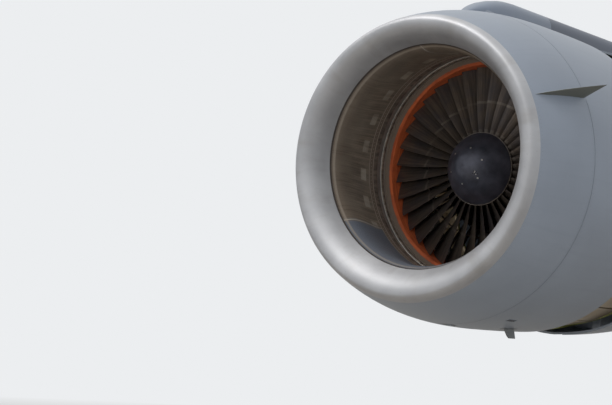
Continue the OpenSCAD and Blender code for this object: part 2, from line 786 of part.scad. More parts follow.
pocket_y = [1000, 1380, 1760, 2140, 2520];
pocket_r = 120;
pocket_t = 29;
module pylon_beam() {
    nose_y = -seam_y + 60;
    color([0.6, 0.62, 0.58]) placed() difference() {
        union() {
            translate([-beam_half, 0, 0]) rotate([90, 0, 90]) linear_extrude(2 * beam_half)
                polygon([
                    [beam_y0, beam_z0], [beam_y1 - 360, beam_z0], [beam_y1, mix(beam_z0, beam_z1, 0.5)],
                    [beam_y1, beam_z1], [beam_y0, beam_z1]
                ]);
            translate([-beam_nose_half, 0, 0]) rotate([90, 0, 90]) linear_extrude(2 * beam_nose_half)
                polygon([
                    [nose_y, mix(beam_nose_z, beam_front_z, 0.55)],
                    [500, mix(beam_nose_z, beam_front_z, 0.28)],
                    [beam_y0 + 20, beam_nose_z], [fairing_y0 - 8, beam_nose_z],
                    [fairing_y0 - 8, beam_front_z], [nose_y, beam_front_z]
                ]);
            translate([-post_half_x, wing_pad_y - post_half_y, beam_z1 - 20])
                cube([2 * post_half_x, 2 * post_half_y, wing_pad_z - beam_z1 + 20]);
            translate([-pad_half_x, wing_pad_y - pad_half_y, wing_pad_z - pad_t])
                cube([2 * pad_half_x, 2 * pad_half_y, pad_t]);
        }
        for (x = [-1, 1], y = [-1, 1])
            translate([x * wing_bolt_x / 2, wing_pad_y + y * wing_bolt_y / 2, wing_pad_z - pad_t - 1])
                cylinder(h = pad_t + 2, r = wing_bolt_r);
        for (y = pocket_y, x = [-beam_half - 1, beam_half - pocket_t])
            translate([x, y, (beam_z0 + beam_z1) / 2]) rotate([0, 90, 0])
                cylinder(h = pocket_t + 1, r = pocket_r);
    }
}

// Rounded top of a pylon section: half width, crown height and shoulder height
function crown_points(w, crown, shoulder, n = 16) =
    [for (i = [0:n]) let (a = 180 * i / n, c = cos(a), s = sin(a))
        [w * sign(c) * pow(abs(c), 0.75), shoulder + (crown - shoulder) * pow(s, 0.75)]];

hinge_x = pylon_half + 20;
hinge_z = beam_z1 + 10;
hinge_r = 16;
hinge_pin_r = 9;
hinge_lug = 44;
hinge_y = [1010, 1330, 1650];
shoulder_z = nacelle_r - 14;

module pylon_fairing() {
    color([0.3, 0.33, 0.38]) placed() {
        difference() {
            translate([0, fairing_y1, 0]) rotate([90, 0, 0]) linear_extrude(fairing_y1 - fairing_y0)
                polygon(concat(
                    crown_points(pylon_half, crown_z, shoulder_z),
                    [[-pylon_half, beam_z1 + seat], [pylon_half, beam_z1 + seat]]
                ));
            translate([-post_half_x - seat, wing_pad_y - post_half_y - seat, beam_z1 - 1])
                cube([2 * (post_half_x + seat), 2 * (post_half_y + seat), wing_pad_z]);
        }
        for (side = [-1, 1], y = hinge_y) {
            for (end = [-1, 1])
                translate([0, y + end * (hinge_lug + 1), 0]) {
                    translate([side * hinge_x, -hinge_lug / 2, hinge_z]) rotate([-90, 0, 0])
                        cylinder(h = hinge_lug, r = hinge_r);
                    translate([side > 0 ? pylon_half - 2 : -hinge_x, -hinge_lug / 2, hinge_z - 9])
                        cube([hinge_x - pylon_half + 2, hinge_lug, 18]);
                }
            translate([side * hinge_x, y - hinge_lug, hinge_z]) rotate([-90, 0, 0])
                cylinder(h = 2 * hinge_lug, r = hinge_pin_r);
        }
    }
}

prow_y0 = -seam_y + 40;
prow_nose_half = 40;
prow_nose_h = 14;
prow_len = 700;

// Outline of the prow at station y: a rounded top over a foot that reaches below the nacelle skin
function prow_outline(y) =
    let (
        u = min(1, (y - prow_y0) / prow_len),
        w = prow_nose_half + (pylon_half - prow_nose_half) * pow(1 - pow(1 - u, 2.2), 0.8),
        seat_z = sqrt(pow(skin_r(y), 2) - w * w) - nacelle_drop,
        nose_z = skin_r(y) - nacelle_drop + prow_nose_h,
        crown = nose_z + (crown_z - nose_z) * (1 - pow(1 - u, 2)),
        shoulder = seat_z + min(8, (crown - seat_z) * 0.4) + (shoulder_z - seat_z - 8) * u * u
    )
    [for (p = concat(crown_points(w, crown, shoulder, 12), [[-w, seat_z - 20], [w, seat_z - 20]]))
        [p[0], y, p[1]]];

module pylon_prow() {
    steps = 14;
    color([0.42, 0.46, 0.52]) placed() difference() {
        outline_loft([for (i = [0:steps])
            prow_outline(mix(prow_y0, fairing_y0 - seat, pow(i / steps, 1.5)))]);
        on_nacelle() turned(-20, 20)
            polygon(concat(
                skin_line(prow_y0 - 20, fairing_y0 + 20, 14, -seat),
                [[big / 10, fairing_y0 + 20], [big / 10, prow_y0 - 20]]
            ));
        for (side = [0, 1])
            mirror([side, 0, 0]) cowl_knuckles(-knuckle_len * 3 / 2 - 3, 3 * knuckle_len + 6, knuckle_r + 2);
    }
}

module pylon_tail() {
    tail_y = 4500;
    outlines = [for (i = [0:8])
        let (
            t = i / 8,
            w = mix(pylon_half, 12, pow(t, 1.7)),
            crown = mix(crown_z, crown_z - 70, t),
            shoulder = mix(shoulder_z, crown_z - 90, t),
            bottom = mix(beam_z1 + seat, crown_z - 130, t),
            y = mix(fairing_y1 + seat, tail_y, t)
        )
        [for (p = concat(crown_points(w, crown, shoulder), [[-w, bottom], [w, bottom]])) [p[0], y, p[1]]]];
    color([0.33, 0.36, 0.41]) placed() outline_loft(outlines);
}

// Fan cowl hinges along both edges of the top apron
cowl_hinge_x = pylon_half + 4;
cowl_hinge_z = sqrt(pow(skin_r(-250), 2) - pow(cowl_hinge_x, 2)) - nacelle_drop + 3;
cowl_hinge_y = [-250, 250, 750];
knuckle_r = 15;
knuckle_len = 38;
cowl_pin_r = 7;
cowl_y0 = -seam_y + seam_gap;

module hinge_line(x, z, stations, offset, length, r) {
    for (y = stations)
        translate([x, y + offset, z]) rotate([-90, 0, 0]) cylinder(h = length, r = r, $fn = 48);
}

// One row of cowl hinge cylinders on the +X side, each offset along Y from its hinge
module cowl_knuckles(offset, length, r) {
    hinge_line(cowl_hinge_x, cowl_hinge_z, cowl_hinge_y, offset, length, r);
}

module top_apron() {
    web_x = 84;
    web_t = 10;
    web_y0 = cowl_y0 + 70;
    web_y1 = cowl_aft_y - 20;
    web_top = [for (p = skin_line(web_y0, web_y1, 10))
        [p[1], sqrt(pow(p[0] - skin_t + 4, 2) - web_x * web_x) - nacelle_drop]];
    skin = concat(skin_line(cowl_y0, cowl_aft_y, 10), reversed(skin_line(cowl_y0, cowl_aft_y, 10, skin_t)));
    color([0.5, 0.54, 0.6]) placed() {
        difference() {
            intersection() {
                on_nacelle() turned(-12, 12) polygon(skin);
                translate([-pylon_half, -big / 2, 0]) cube([2 * pylon_half, big, big / 2]);
            }
            for (side = [0, 1])
                mirror([side, 0, 0]) cowl_knuckles(-knuckle_len / 2 - 1, knuckle_len + 2, knuckle_r + 2);
        }
        for (x = [-web_x, web_x])
            translate([x - web_t / 2, 0, 0]) rotate([90, 0, 90]) linear_extrude(web_t)
                polygon(concat(web_top, [[web_y1, beam_front_z + seat], [web_y0, beam_front_z + seat]]));
        for (side = [0, 1])
            mirror([side, 0, 0]) {
                cowl_knuckles(knuckle_len / 2 + 1, knuckle_len, knuckle_r);
                cowl_knuckles(-knuckle_len * 3 / 2 - 1, knuckle_len, knuckle_r);
                cowl_knuckles(-knuckle_len, 2 * knuckle_len, cowl_pin_r);
            }
    }
}

module front_mount() {
    y = hub_aft_y - 50;
    hub = hub_out + hub_rim + seat;
    color([0.5, 0.5, 0.48]) placed() difference() {
        union() {
            translate([-95, y, beam_z0 - 30 - seat]) cube([190, 44, 30]);
            translate([-60, y, hub - 20]) cube([120, 44, beam_z0 - hub - seat]);
            translate([-120, y, hub - 20]) cube([240, 44, 40]);
        }
        translate([0, y - 1, 0]) rotate([-90, 0, 0]) cylinder(h = 46, r = hub, $fn = around);
        translate([0, y - 1, hub + 80]) rotate([-90, 0, 0]) cylinder(h = 46, r = 24);
    }
}

module rear_mount() {
    y = exhaust_aft_y - 52;
    rim = rim_r + seat;
    color([0.5, 0.5, 0.48]) placed() difference() {
        union() {
            translate([-90, y, beam_z0 - 26 - seat]) cube([180, 50, 26]);
            translate([-55, y, rim - 20]) cube([110, 50, beam_z0 - rim - seat]);
            translate([-110, y, rim - 20]) cube([220, 50, 34]);
        }
        translate([0, y - 1, 0]) rotate([-90, 0, 0]) cylinder(h = 52, r = rim, $fn = around);
        translate([0, y - 1, rim + 70]) rotate([-90, 0, 0]) cylinder(h = 52, r = 20);
    }
}

module thrust_links() {
    face_y = hub_aft_y + seat;
    front = [235, face_y + 24, 500];
    back = [64, 2440, beam_z0 - 34];
    color([0.62, 0.62, 0.6]) placed()
        for (side = [-1, 1]) {
            a = [side * front[0], front[1], front[2]];
            b = [side * back[0], back[1], back[2]];
            rod(a, b, 20);
            translate([a[0] - 28, face_y, a[2] - 30]) cube([56, 40, 56]);
            translate([b[0] - 30, b[1] - 40, b[2] - 22]) cube([60, 90, beam_z0 - seat - b[2] + 22]);
        }
}

// Fan cowls
latch_y = [for (k = [0:4]) mix(-seam_y + 60, cowl_aft_y - 110, k / 4)];
latch_x = 36;
latch_w = 52;
latch_l = 116;
latch_t = 8;
latch_pocket = 10;
module fan_cowl() {
    skin = concat(skin_line(cowl_y0, cowl_aft_y, 12), reversed(skin_line(cowl_y0, cowl_aft_y, 12, skin_t)));
    difference() {
        union() {
            right_of(pylon_half + 8, seam_gap / 2) on_nacelle() turned(0, 180) polygon(skin);
            cowl_knuckles(-knuckle_len / 2, knuckle_len, knuckle_r);
        }
        cowl_knuckles(-knuckle_len / 2 - 1, knuckle_len + 2, cowl_pin_r + pin_gap);
        cowl_knuckles(knuckle_len / 2, knuckle_len + 2, knuckle_r + 2);
        cowl_knuckles(-knuckle_len * 3 / 2 - 2, knuckle_len + 2, knuckle_r + 2);
        for (y = latch_y)
            translate([latch_x - latch_w / 2, y - latch_l / 2, latch_z(y) - 4])
                cube([latch_w, latch_l, latch_pocket + 4]);
    }
}
function latch_z(y) = -sqrt(pow(skin_r(y), 2) - latch_x * latch_x) - nacelle_drop;

module fan_cowl_right() {
    color([0.52, 0.56, 0.61]) placed() fan_cowl();
}

module fan_cowl_left() {
    color([0.52, 0.56, 0.61]) placed() mirror([1, 0, 0]) fan_cowl();
}

module cowl_latches() {
    color([0.4, 0.43, 0.47]) placed()
        for (y = latch_y)
            translate([latch_x - latch_w / 2 + 2, y - latch_l / 2 + 3, latch_z(y) + latch_pocket])
                translate([0, 0, -seat - latch_t]) cube([latch_w - 4, latch_l - 6, latch_t]);
}

// Thrust reverser: the halves hinge at the pylon, the sleeves slide on their beams
half_x = pylon_half + 12;
beam_x = half_x + 56;
foot_x0 = 6;
foot_x1 = 46;
wall_y0 = case_aft_y + slide_gap;
disc_y0 = 904;
disc_y2 = max(sleeve_y - 10, cowl_aft_y + 2);
track_y0 = cowl_aft_y + 1;
track_y1 = nozzle_y - 40;
cascade_y1 = sleeve_y + sleeve_travel - 34;
door_in = duct_r - 24;
track_z0 = 1012;
foot_z0 = -(door_in + nacelle_drop + 4);

module reverser_frame() {
    rim = skin_r(disc_y2) - skin_t - 2 * slide_gap;
    wall_r = duct_in + 42;
    beam_line = [for (p = skin_line(track_y0, track_y1, 14))
        [p[1], sqrt(p[0] * p[0] - beam_x * beam_x) - nacelle_drop - 12]];
    foot_line = [for (p = skin_line(track_y0, track_y1, 14)) [p[1], -p[0] - nacelle_drop + 14]];
    right_of(hinge_x + hinge_r + 6, foot_x0 + 20) on_nacelle() turned(0, 180) {
        polygon([
            [wall_r, wall_y0], [case_rib + 40, wall_y0], [case_rib + 40, wall_y0 + 12],
            [wall_r + 16, wall_y0 + 20], [door_in + 14, disc_y0], [rim, disc_y0], [rim, disc_y2],
            [door_in, disc_y2]
        ]);
        polygon([
            [cascade_r - cascade_t, cascade_y1], [cascade_r, cascade_y1],
            [cascade_r, cascade_y1 + 22], [cascade_r - cascade_t, cascade_y1 + 22]
        ]);
    }
    difference() {
        union() {
            intersection() {
                translate([0, track_y1, 0]) rotate([90, 0, 0]) linear_extrude(track_y1 - track_y0)
                    polygon([
                        [half_x, track_z0], [beam_x, track_z0],
                        [beam_x, hinge_z + 17 + beam_x - half_x], [half_x, hinge_z + 17]
                    ]);
                rotate([90, 0, 90]) linear_extrude(big / 4)
                    polygon(concat(beam_line, [[track_y1, track_z0 - 5], [track_y0, track_z0 - 5]]));
            }
            hinge_line(hinge_x, hinge_z, hinge_y, -hinge_lug / 2, hinge_lug, hinge_r);
        }
        hinge_line(hinge_x, hinge_z, hinge_y, -hinge_lug / 2 - 1, hinge_lug + 2, hinge_pin_r + pin_gap);
        hinge_line(hinge_x, hinge_z, hinge_y, hinge_lug / 2, hinge_lug + 3, hinge_r + 2);
        hinge_line(hinge_x, hinge_z, hinge_y, -hinge_lug * 3 / 2 - 3, hinge_lug + 3, hinge_r + 2);
    }
    translate([foot_x0, 0, 0]) rotate([90, 0, 90]) linear_extrude(foot_x1 - foot_x0)
        polygon(concat(foot_line, [[track_y1, foot_z0], [track_y0, foot_z0]]));
}

module reverser_frame_right() {
    color([0.6, 0.61, 0.58]) placed() reverser_frame();
}

module reverser_frame_left() {
    color([0.6, 0.61, 0.58]) placed() mirror([1, 0, 0]) reverser_frame();
}

cascade_from = asin((beam_x + 8) / (cascade_r - cascade_t));
cascade_to = 180 - asin((foot_x1 + 8) / (cascade_r - cascade_t));
cascade_pitch = (cascade_to - cascade_from) / cascade_count;
cascade_w = 2 * (cascade_r - cascade_t) * tan(cascade_pitch / 2) - 4;

module cascade_box() {
    y0 = disc_y2 + seat;
    y1 = cascade_y1 - seat;
    z0 = cascade_r - cascade_t + 2;
    depth = cascade_t - 8;
    pitch = (y1 - y0 - 40) / cascade_vanes;
    t = 4;
    translate([-cascade_w / 2, 0, 0]) rotate([90, 0, 90]) linear_extrude(cascade_w)
        for (k = [0:cascade_vanes - 1]) {
            y = y0 + 38 + pitch * k;
            polygon([
                [y, z0], [y + t, z0], [y - 6 + t, z0 + depth * 0.55], [y - 26 + t, z0 + depth],
                [y - 26, z0 + depth], [y - 6, z0 + depth * 0.55]
            ]);
        }
    for (k = [0:2])
        translate([-cascade_w / 2 + (cascade_w - t) * k / 2, y0, z0]) cube([t, y1 - y0, depth]);
    for (y = [y0, y1 - 6])
        translate([-cascade_w / 2, y, z0]) cube([cascade_w, 6, depth]);
}

module cascade_blank() {
    y0 = disc_y2 + seat;
    y1 = cascade_y1 - seat;
    z1 = cascade_r - 6;
    translate([-cascade_w / 2, y0, z1 - 30]) cube([cascade_w, y1 - y0, 30]);
}

module cascades() {
    on_nacelle()
        for (i = [0:cascade_count - 1])
            rotate([0, cascade_from + cascade_pitch * (i + 0.5), 0])
                if (i < cascade_open) cascade_box();
                else cascade_blank();
}

module cascades_right() {
    color([0.72, 0.7, 0.66]) placed() cascades();
}

module cascades_left() {
    color([0.72, 0.7, 0.66]) placed() mirror([1, 0, 0]) cascades();
}

wall_t = 6;
module core_cowl() {
    t = 12;
    line = [for (i = [0:16]) let (y = mix(core_front_y, core_aft_y, i / 16)) [core_line_r(y), y]];
    right_of(half_x, foot_x0) on_nacelle() turned(0, 180)
        polygon(concat(line, [for (p = reversed(line)) p - [t, 0]]));
    top = [for (p = line) if (p[1] < track_y1)
        [p[1], sqrt(pow(p[0] - 6, 2) - pow(half_x + 3, 2)) - nacelle_drop]];
    foot = [for (p = line) if (p[1] < track_y1) [p[1], -p[0] + 6 - nacelle_drop]];
    last = top[len(top) - 1][0];
    translate([half_x, 0, 0]) rotate([90, 0, 90]) linear_extrude(wall_t)
        polygon(concat(top, [for (y = [last, disc_y2, core_front_y]) [y, track_z0 - seat]]));
    translate([foot_x0, 0, 0]) rotate([90, 0, 90]) linear_extrude(wall_t)
        polygon(concat(
            foot, [[last, foot_z0 + seat], [disc_y2, foot_z0 + seat], [core_front_y, foot_z0 + 50]]
        ));
}

module core_cowl_right() {
    color([0.58, 0.58, 0.56]) placed() core_cowl();
}

module core_cowl_left() {
    color([0.58, 0.58, 0.56]) placed() mirror([1, 0, 0]) core_cowl();
}

// Blocker doors hang from arms on the front of the sleeve's inner wall
panel_y0 = sleeve_y + 92;
pivot_y = sleeve_y + 43;
pivot_r = duct_r + 8;
door_fold = 85;
door_len = (pivot_r - core_r - door_clear) / sin(door_fold);
door_from = 14;
door_to = 176;
door_pitch = (door_to - door_from) / door_count;
arm_x = 72;
arm_w = 18;
pivot_pin_r = 5;

module sleeve() {
    cavity_y = sleeve_y + sleeve_travel + 46;
    flare_y = 1950;
    wall = [for (i = [0:8])
        [mix(duct_r, nozzle_r - 14, ease(i / 8)), mix(flare_y, nozzle_y, i / 8)]];
    translate([0, sleeve_travel, 0]) {
        right_of(beam_x + slide_gap, foot_x1 + slide_gap) on_nacelle() turned(0, 180)
            polygon(concat(
                skin_line(sleeve_y, nozzle_y, 16), reversed(wall),
                [[duct_r, panel_y0], [duct_r + 22, panel_y0], [duct_r + 22, cavity_y]],
                reversed(skin_line(sleeve_y, cavity_y, 8, skin_t))
            ));
        on_nacelle()
            for (i = [0:door_count - 1])
                rotate([0, door_from + door_pitch * (i + 0.5), 0]) {
                    for (x = [-arm_x - arm_w, arm_x])
                        translate([x, pivot_y - 10, duct_r + 1]) cube([arm_w, panel_y0 - pivot_y + 20, 16]);
                    translate([-arm_x - 2, pivot_y, pivot_r]) rotate([0, 90, 0])
                        cylinder(h = 2 * arm_x + 4, r = pivot_pin_r, $fn = 32);
                }
    }
}

module sleeve_right() {
    color([0.5, 0.54, 0.59]) placed() sleeve();
}

module sleeve_left() {
    color([0.5, 0.54, 0.59]) placed() mirror([1, 0, 0]) sleeve();
}

module door_panel() {
    half_front = (pivot_r - 12) * tan(door_pitch / 2) - 32;
    half_free = (pivot_r - door_len) * tan(door_pitch / 2) - 17;
    difference() {
        union() {
            intersection() {
                turned(-30, 30) polygon([
                    [door_in, pivot_y - 10], [duct_r - 2, pivot_y - 10],
                    [duct_r - 2, pivot_y + door_len], [door_in + 12, pivot_y + door_len]
                ]);
                linear_extrude(big / 4) polygon([
                    [-half_front, pivot_y - 12], [half_front, pivot_y - 12],
                    [half_free, pivot_y + door_len + 2], [-half_free, pivot_y + door_len + 2]
                ]);
            }
            for (x = [-arm_x + 3, arm_x - 21])
                translate([x, pivot_y - 9, duct_r - 8]) cube([18, 18, pivot_r - duct_r + 17]);
        }
        translate([-arm_x, pivot_y, pivot_r]) rotate([0, 90, 0])
            cylinder(h = 2 * arm_x, r = pivot_pin_r + pin_gap, $fn = 32);
    }
}

module door(i) {
    on_nacelle() rotate([0, door_from + door_pitch * (i - 0.5), 0])
        translate([0, pivot_y + sleeve_travel, pivot_r]) rotate([-door_fold, 0, 0])
            translate([0, -pivot_y, -pivot_r]) door_panel();
}

module door_right(i) {
    color([0.5, 0.5, 0.47]) placed() door(i);
}

module door_left(i) {
    color([0.5, 0.5, 0.47]) placed() mirror([1, 0, 0]) door(i);
}

pylon_beam();
pylon_fairing();
pylon_prow();
pylon_tail();
top_apron();
front_mount();
rear_mount();
thrust_links();
inlet_lip();
inlet_skin();
inlet_barrel();
inlet_bulkhead();
inlet_flange();
strakes();
fan_rub_strip();
fan_case();
guide_vanes();
fan_frame();
compressor_case();
combustor_case();
combustor_liner();
fuel_manifold();
turbine_case();
exhaust_case();
core_nozzle();
exhaust_plug();
gearbox();
starter();
generator();
fuel_pump();
oil_tank();
bearings();
spinner();
fan_disc();
fan_blades();
booster_rotor();
shaft();
low_turbine();
compressor_rotor();
high_turbine();
fan_cowl_right();
fan_cowl_left();
cowl_latches();
reverser_frame_right();
reverser_frame_left();
cascades_right();
cascades_left();
core_cowl_right();
core_cowl_left();
sleeve_right();
sleeve_left();
door_right(1);  // door_right_1
door_right(2);  // door_right_2
door_right(3);  // door_right_3
door_right(4);  // door_right_4
door_left(1);  // door_left_1
door_left(2);  // door_left_2
door_left(3);  // door_left_3
door_left(4);  // door_left_4
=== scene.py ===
import math

import bmesh
import bpy
from mathutils import Matrix, Vector


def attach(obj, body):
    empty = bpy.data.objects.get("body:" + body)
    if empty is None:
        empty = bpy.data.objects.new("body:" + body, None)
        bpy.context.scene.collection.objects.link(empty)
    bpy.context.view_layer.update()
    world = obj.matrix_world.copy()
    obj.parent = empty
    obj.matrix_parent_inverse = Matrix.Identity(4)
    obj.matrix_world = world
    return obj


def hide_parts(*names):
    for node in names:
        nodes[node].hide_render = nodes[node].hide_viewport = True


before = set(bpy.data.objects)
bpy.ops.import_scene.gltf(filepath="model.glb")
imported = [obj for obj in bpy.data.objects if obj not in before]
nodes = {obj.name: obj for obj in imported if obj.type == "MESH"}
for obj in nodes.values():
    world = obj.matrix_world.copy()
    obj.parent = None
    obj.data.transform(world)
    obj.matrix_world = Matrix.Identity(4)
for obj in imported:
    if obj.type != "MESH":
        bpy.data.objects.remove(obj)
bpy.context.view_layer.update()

TURN = 2 * math.pi
MM = 1 / 1000

# Where the engine axis meets the fan case's front face, in the part's frame.
# A station is measured aft from there, and an angle from the top towards +X.
ENGINE = Vector((0.0, -2.950, -1.700))

# Outer skin of the nacelle, about its own axis, which lies DROP below the engine's
DROP = 0.032
LIP_END_Y, WIDEST_Y, TAIL_Y = -1.128, 0.25, 2.820
WIDEST_R = 1.494
FORE_FALL, FORE_POWER = 0.188, 2.7
AFT_FALL, AFT_POWER = 0.294, 2.6

# Fan: radii of the hub, the blade tips and the part-span shrouds
BLADES = 36
HUB_R, TIP_R, SHROUD_R = 0.345, 0.996, 0.650


def engine(x, y, z):
    """A place given about the engine axis."""
    return ENGINE + Vector((x, y, z))


def nacelle(angle, r, y):
    """A place given about the nacelle's axis."""
    return engine(r * math.sin(angle), y, r * math.cos(angle) - DROP)


def skin_r(y):
    """Radius of the nacelle's outer skin about its own axis."""
    if y < WIDEST_Y:
        return WIDEST_R - FORE_FALL * ((WIDEST_Y - y) / (WIDEST_Y - LIP_END_Y)) ** FORE_POWER
    return WIDEST_R - AFT_FALL * ((y - WIDEST_Y) / (TAIL_Y - WIDEST_Y)) ** AFT_POWER


# Camera
CAMERA_PLACE = (8.4865, -16.7234, -3.3939)
CAMERA_RIGHT = (0.7961, 0.6022, 0.0598)
CAMERA_AHEAD = (-0.6052, 0.7922, 0.0787)
CAMERA_LENS, CAMERA_SENSOR = 100.0, 36.0


def make_camera():
    cam = bpy.data.objects.new("camera", bpy.data.cameras.new("camera"))
    bpy.context.scene.collection.objects.link(cam)
    cam.data.lens = CAMERA_LENS
    cam.data.sensor_width = CAMERA_SENSOR
    cam.data.clip_start = 0.1
    cam.data.clip_end = 400.0
    right = Vector(CAMERA_RIGHT).normalized()
    ahead = Vector(CAMERA_AHEAD).normalized()
    up = right.cross(ahead).normalized()
    turn = Matrix((right, up, -ahead)).transposed()
    cam.matrix_world = Matrix.Translation(CAMERA_PLACE) @ turn.to_4x4()
    bpy.context.scene.camera = cam


make_camera()
bpy.context.scene.view_settings.view_transform = "Standard"


# Materials
def srgb(r, g, b):
    """Linear colour of three screen values from 0 to 255."""
    def one(v):
        v /= 255
        return v / 12.92 if v <= 0.04045 else ((v + 0.055) / 1.055) ** 2.4
    return (one(r), one(g), one(b), 1.0)


def shade(color, k):
    return (color[0] * k, color[1] * k, color[2] * k, 1.0)


class Nodes:
    """Short calls for the nodes of one tree, a material's or the world's."""

    def __init__(self, tree):
        self.tree = tree

    def set(self, node, values):
        for key, value in values.items():
            socket = node.inputs[key]
            if isinstance(value, bpy.types.NodeSocket):
                self.tree.links.new(value, socket)
            else:
                socket.default_value = value

    def node(self, kind, inputs=None, **settings):
        node = self.tree.nodes.new(kind)
        for key, value in settings.items():
            setattr(node, key, value)
        self.set(node, inputs or {})
        return node

    def math(self, op, a, b=0.0, clamp=False):
        return self.node("ShaderNodeMath", {0: a, 1: b}, operation=op, use_clamp=clamp).outputs[0]

    def ramp(self, fac, *stops):
        node = self.node("ShaderNodeValToRGB", {"Fac": fac})
        items = node.color_ramp.elements
        while len(items) < len(stops):
            items.new(0.5)
        for item, (at, color) in zip(items, stops):
            item.position = at
            item.color = color if isinstance(color, tuple) else (color, color, color, 1)
        return node.outputs["Color"]


class Graph(Nodes):
    """One material: arithmetic, places on the engine and the patterns that the surfaces share."""

    def __init__(self, name, color, metallic, roughness):
        self.mat = bpy.data.materials.new(name)
        self.mat.use_nodes = True
        super().__init__(self.mat.node_tree)
        self.bsdf = self.tree.nodes["Principled BSDF"]
        self.set(self.bsdf, {"Base Color": color, "Metallic": metallic, "Roughness": roughness})
        self.mat.diffuse_color = color

    def plus(self, a, b):
        return self.math("ADD", a, b)

    def minus(self, a, b):
        return self.math("SUBTRACT", a, b)

    def times(self, first, *factors):
        for factor in factors:
            first = self.math("MULTIPLY", first, factor)
        return first

    def over(self, a, b):
        return self.math("DIVIDE", a, b)

    def below(self, value, limit):
        return self.math("LESS_THAN", value, limit)

    def above(self, value, limit):
        return self.math("GREATER_THAN", value, limit)

    def spread(self, value, amount, start):
        return self.plus(self.times(value, amount), start)

    def length(self, a, b):
        return self.math("SQRT", self.plus(self.times(a, a), self.times(b, b)))

    def rise(self, a, b, rate):
        """0 where a is under b, then rising to 1 at this rate."""
        return self.math("MULTIPLY", self.minus(a, b), rate, clamp=True)

    def fade(self, value, edge, soft):
        """1 up to the edge, falling to 0 over soft."""
        return self.math("SUBTRACT", 1.0, self.over(self.minus(value, edge), soft), clamp=True)

    def band(self, value, centre, half, soft):
        """1 within half of centre, falling to 0 over soft."""
        return self.fade(self.math("ABSOLUTE", self.minus(value, centre)), half, soft)

    def repeat(self, value, pitch):
        """Distance to the nearest whole multiple of pitch."""
        return self.math("PINGPONG", value, pitch / 2)

    def polar(self, drop=0.0):
        """Angle, radius and station about an axis that lies drop below the engine's."""
        co = self.node("ShaderNodeTexCoord").outputs["Object"]
        moved = self.node("ShaderNodeVectorMath", {0: co, 1: -ENGINE}, operation="ADD").outputs[0]
        x, y, z = self.node("ShaderNodeSeparateXYZ", {0: moved}).outputs
        z = self.plus(z, drop)
        return self.math("ARCTAN2", x, z), self.length(x, z), y

    def noise(self, vector, scale, detail):
        values = {"Vector": vector, "Scale": scale, "Detail": detail, "Roughness": 0.55}
        return self.node("ShaderNodeTexNoise", values).outputs["Fac"]

    def cloud(self, scale, detail, stretch=(1, 1, 1)):
        """Noise through space, drawn out along an axis whose stretch is under 1."""
        co = self.node("ShaderNodeTexCoord").outputs["Object"]
        vector = self.node("ShaderNodeMapping", {"Vector": co, "Scale": stretch}).outputs[0]
        return self.noise(vector, scale, detail)

    def streaks(self, detail, *axes):
        """Noise over up to three values, each with a frequency of its own."""
        values = dict(enumerate(self.times(value, rate) for value, rate in axes))
        return self.noise(self.node("ShaderNodeCombineXYZ", values).outputs[0], 1.0, detail)

    def mix(self, fac, a, b):
        node = self.node("ShaderNodeMix", data_type="RGBA")
        self.set(node, {0: fac, 6: a, 7: b})
        return node.outputs[2]

    def blend(self, value, start, end, a, b, most=1.0):
        """Colour a where value is under start, turning to b by end, or only as far as most."""
        return self.mix(self.ramp(value, (start, 0.0), (end, most)), a, b)

    def bump(self, height, strength, distance):
        node = self.node("ShaderNodeBump", {"Height": height, "Strength": strength, "Distance": distance})
        self.set(self.bsdf, {"Normal": node.outputs[0]})

    def done(self, color, **sockets):
        self.set(self.bsdf, {"Base Color": color, **sockets})
        return self.mat


def lip_metal():
    """Dulled alloy with a grain around the ring, smears and nicks."""
    g = Graph("lip_metal", srgb(178, 179, 182), 1.0, 0.5)
    angle, radius, y = g.polar()
    grain = g.streaks(4, (angle, 1.2), (y, 160.0), (radius, 160.0))
    smear = g.streaks(4, (angle, 9.0), (y, 2.0), (radius, 2.0))
    cloud = g.cloud(2.2, 4)
    nick = g.cloud(60.0, 2)
    color = g.blend(cloud, 0.35, 0.7, srgb(166, 167, 170), srgb(184, 185, 188))
    color = g.blend(smear, 0.55, 0.8, color, srgb(152, 150, 147), 0.5)
    color = g.blend(nick, 0.72, 0.78, color, srgb(132, 130, 127), 0.6)
    g.bump(grain, 0.05, 0.001)
    return g.done(color, Roughness=g.spread(cloud, 0.12, 0.56))


PAINT_ROUGH = 0.42
SEAM_HALF, SEAM_GRIME = 0.002, 0.04
FASTENER_R, FASTENER_EDGE = 0.0035, 0.0015
SKIN_THICK = 0.006


def skin_radius(g, y):
    """The inner side of skin_r's outline as a socket."""
    fore = g.math("MAXIMUM", g.over(g.minus(WIDEST_Y, y), WIDEST_Y - LIP_END_Y), 0.0)
    aft = g.math("MAXIMUM", g.over(g.minus(y, WIDEST_Y), TAIL_Y - WIDEST_Y), 0.0)
    fore_fall = g.times(g.math("POWER", fore, FORE_POWER), FORE_FALL)
    aft_fall = g.times(g.math("POWER", aft, AFT_POWER), AFT_FALL)
    return g.minus(WIDEST_R - SKIN_THICK, g.plus(fore_fall, aft_fall))


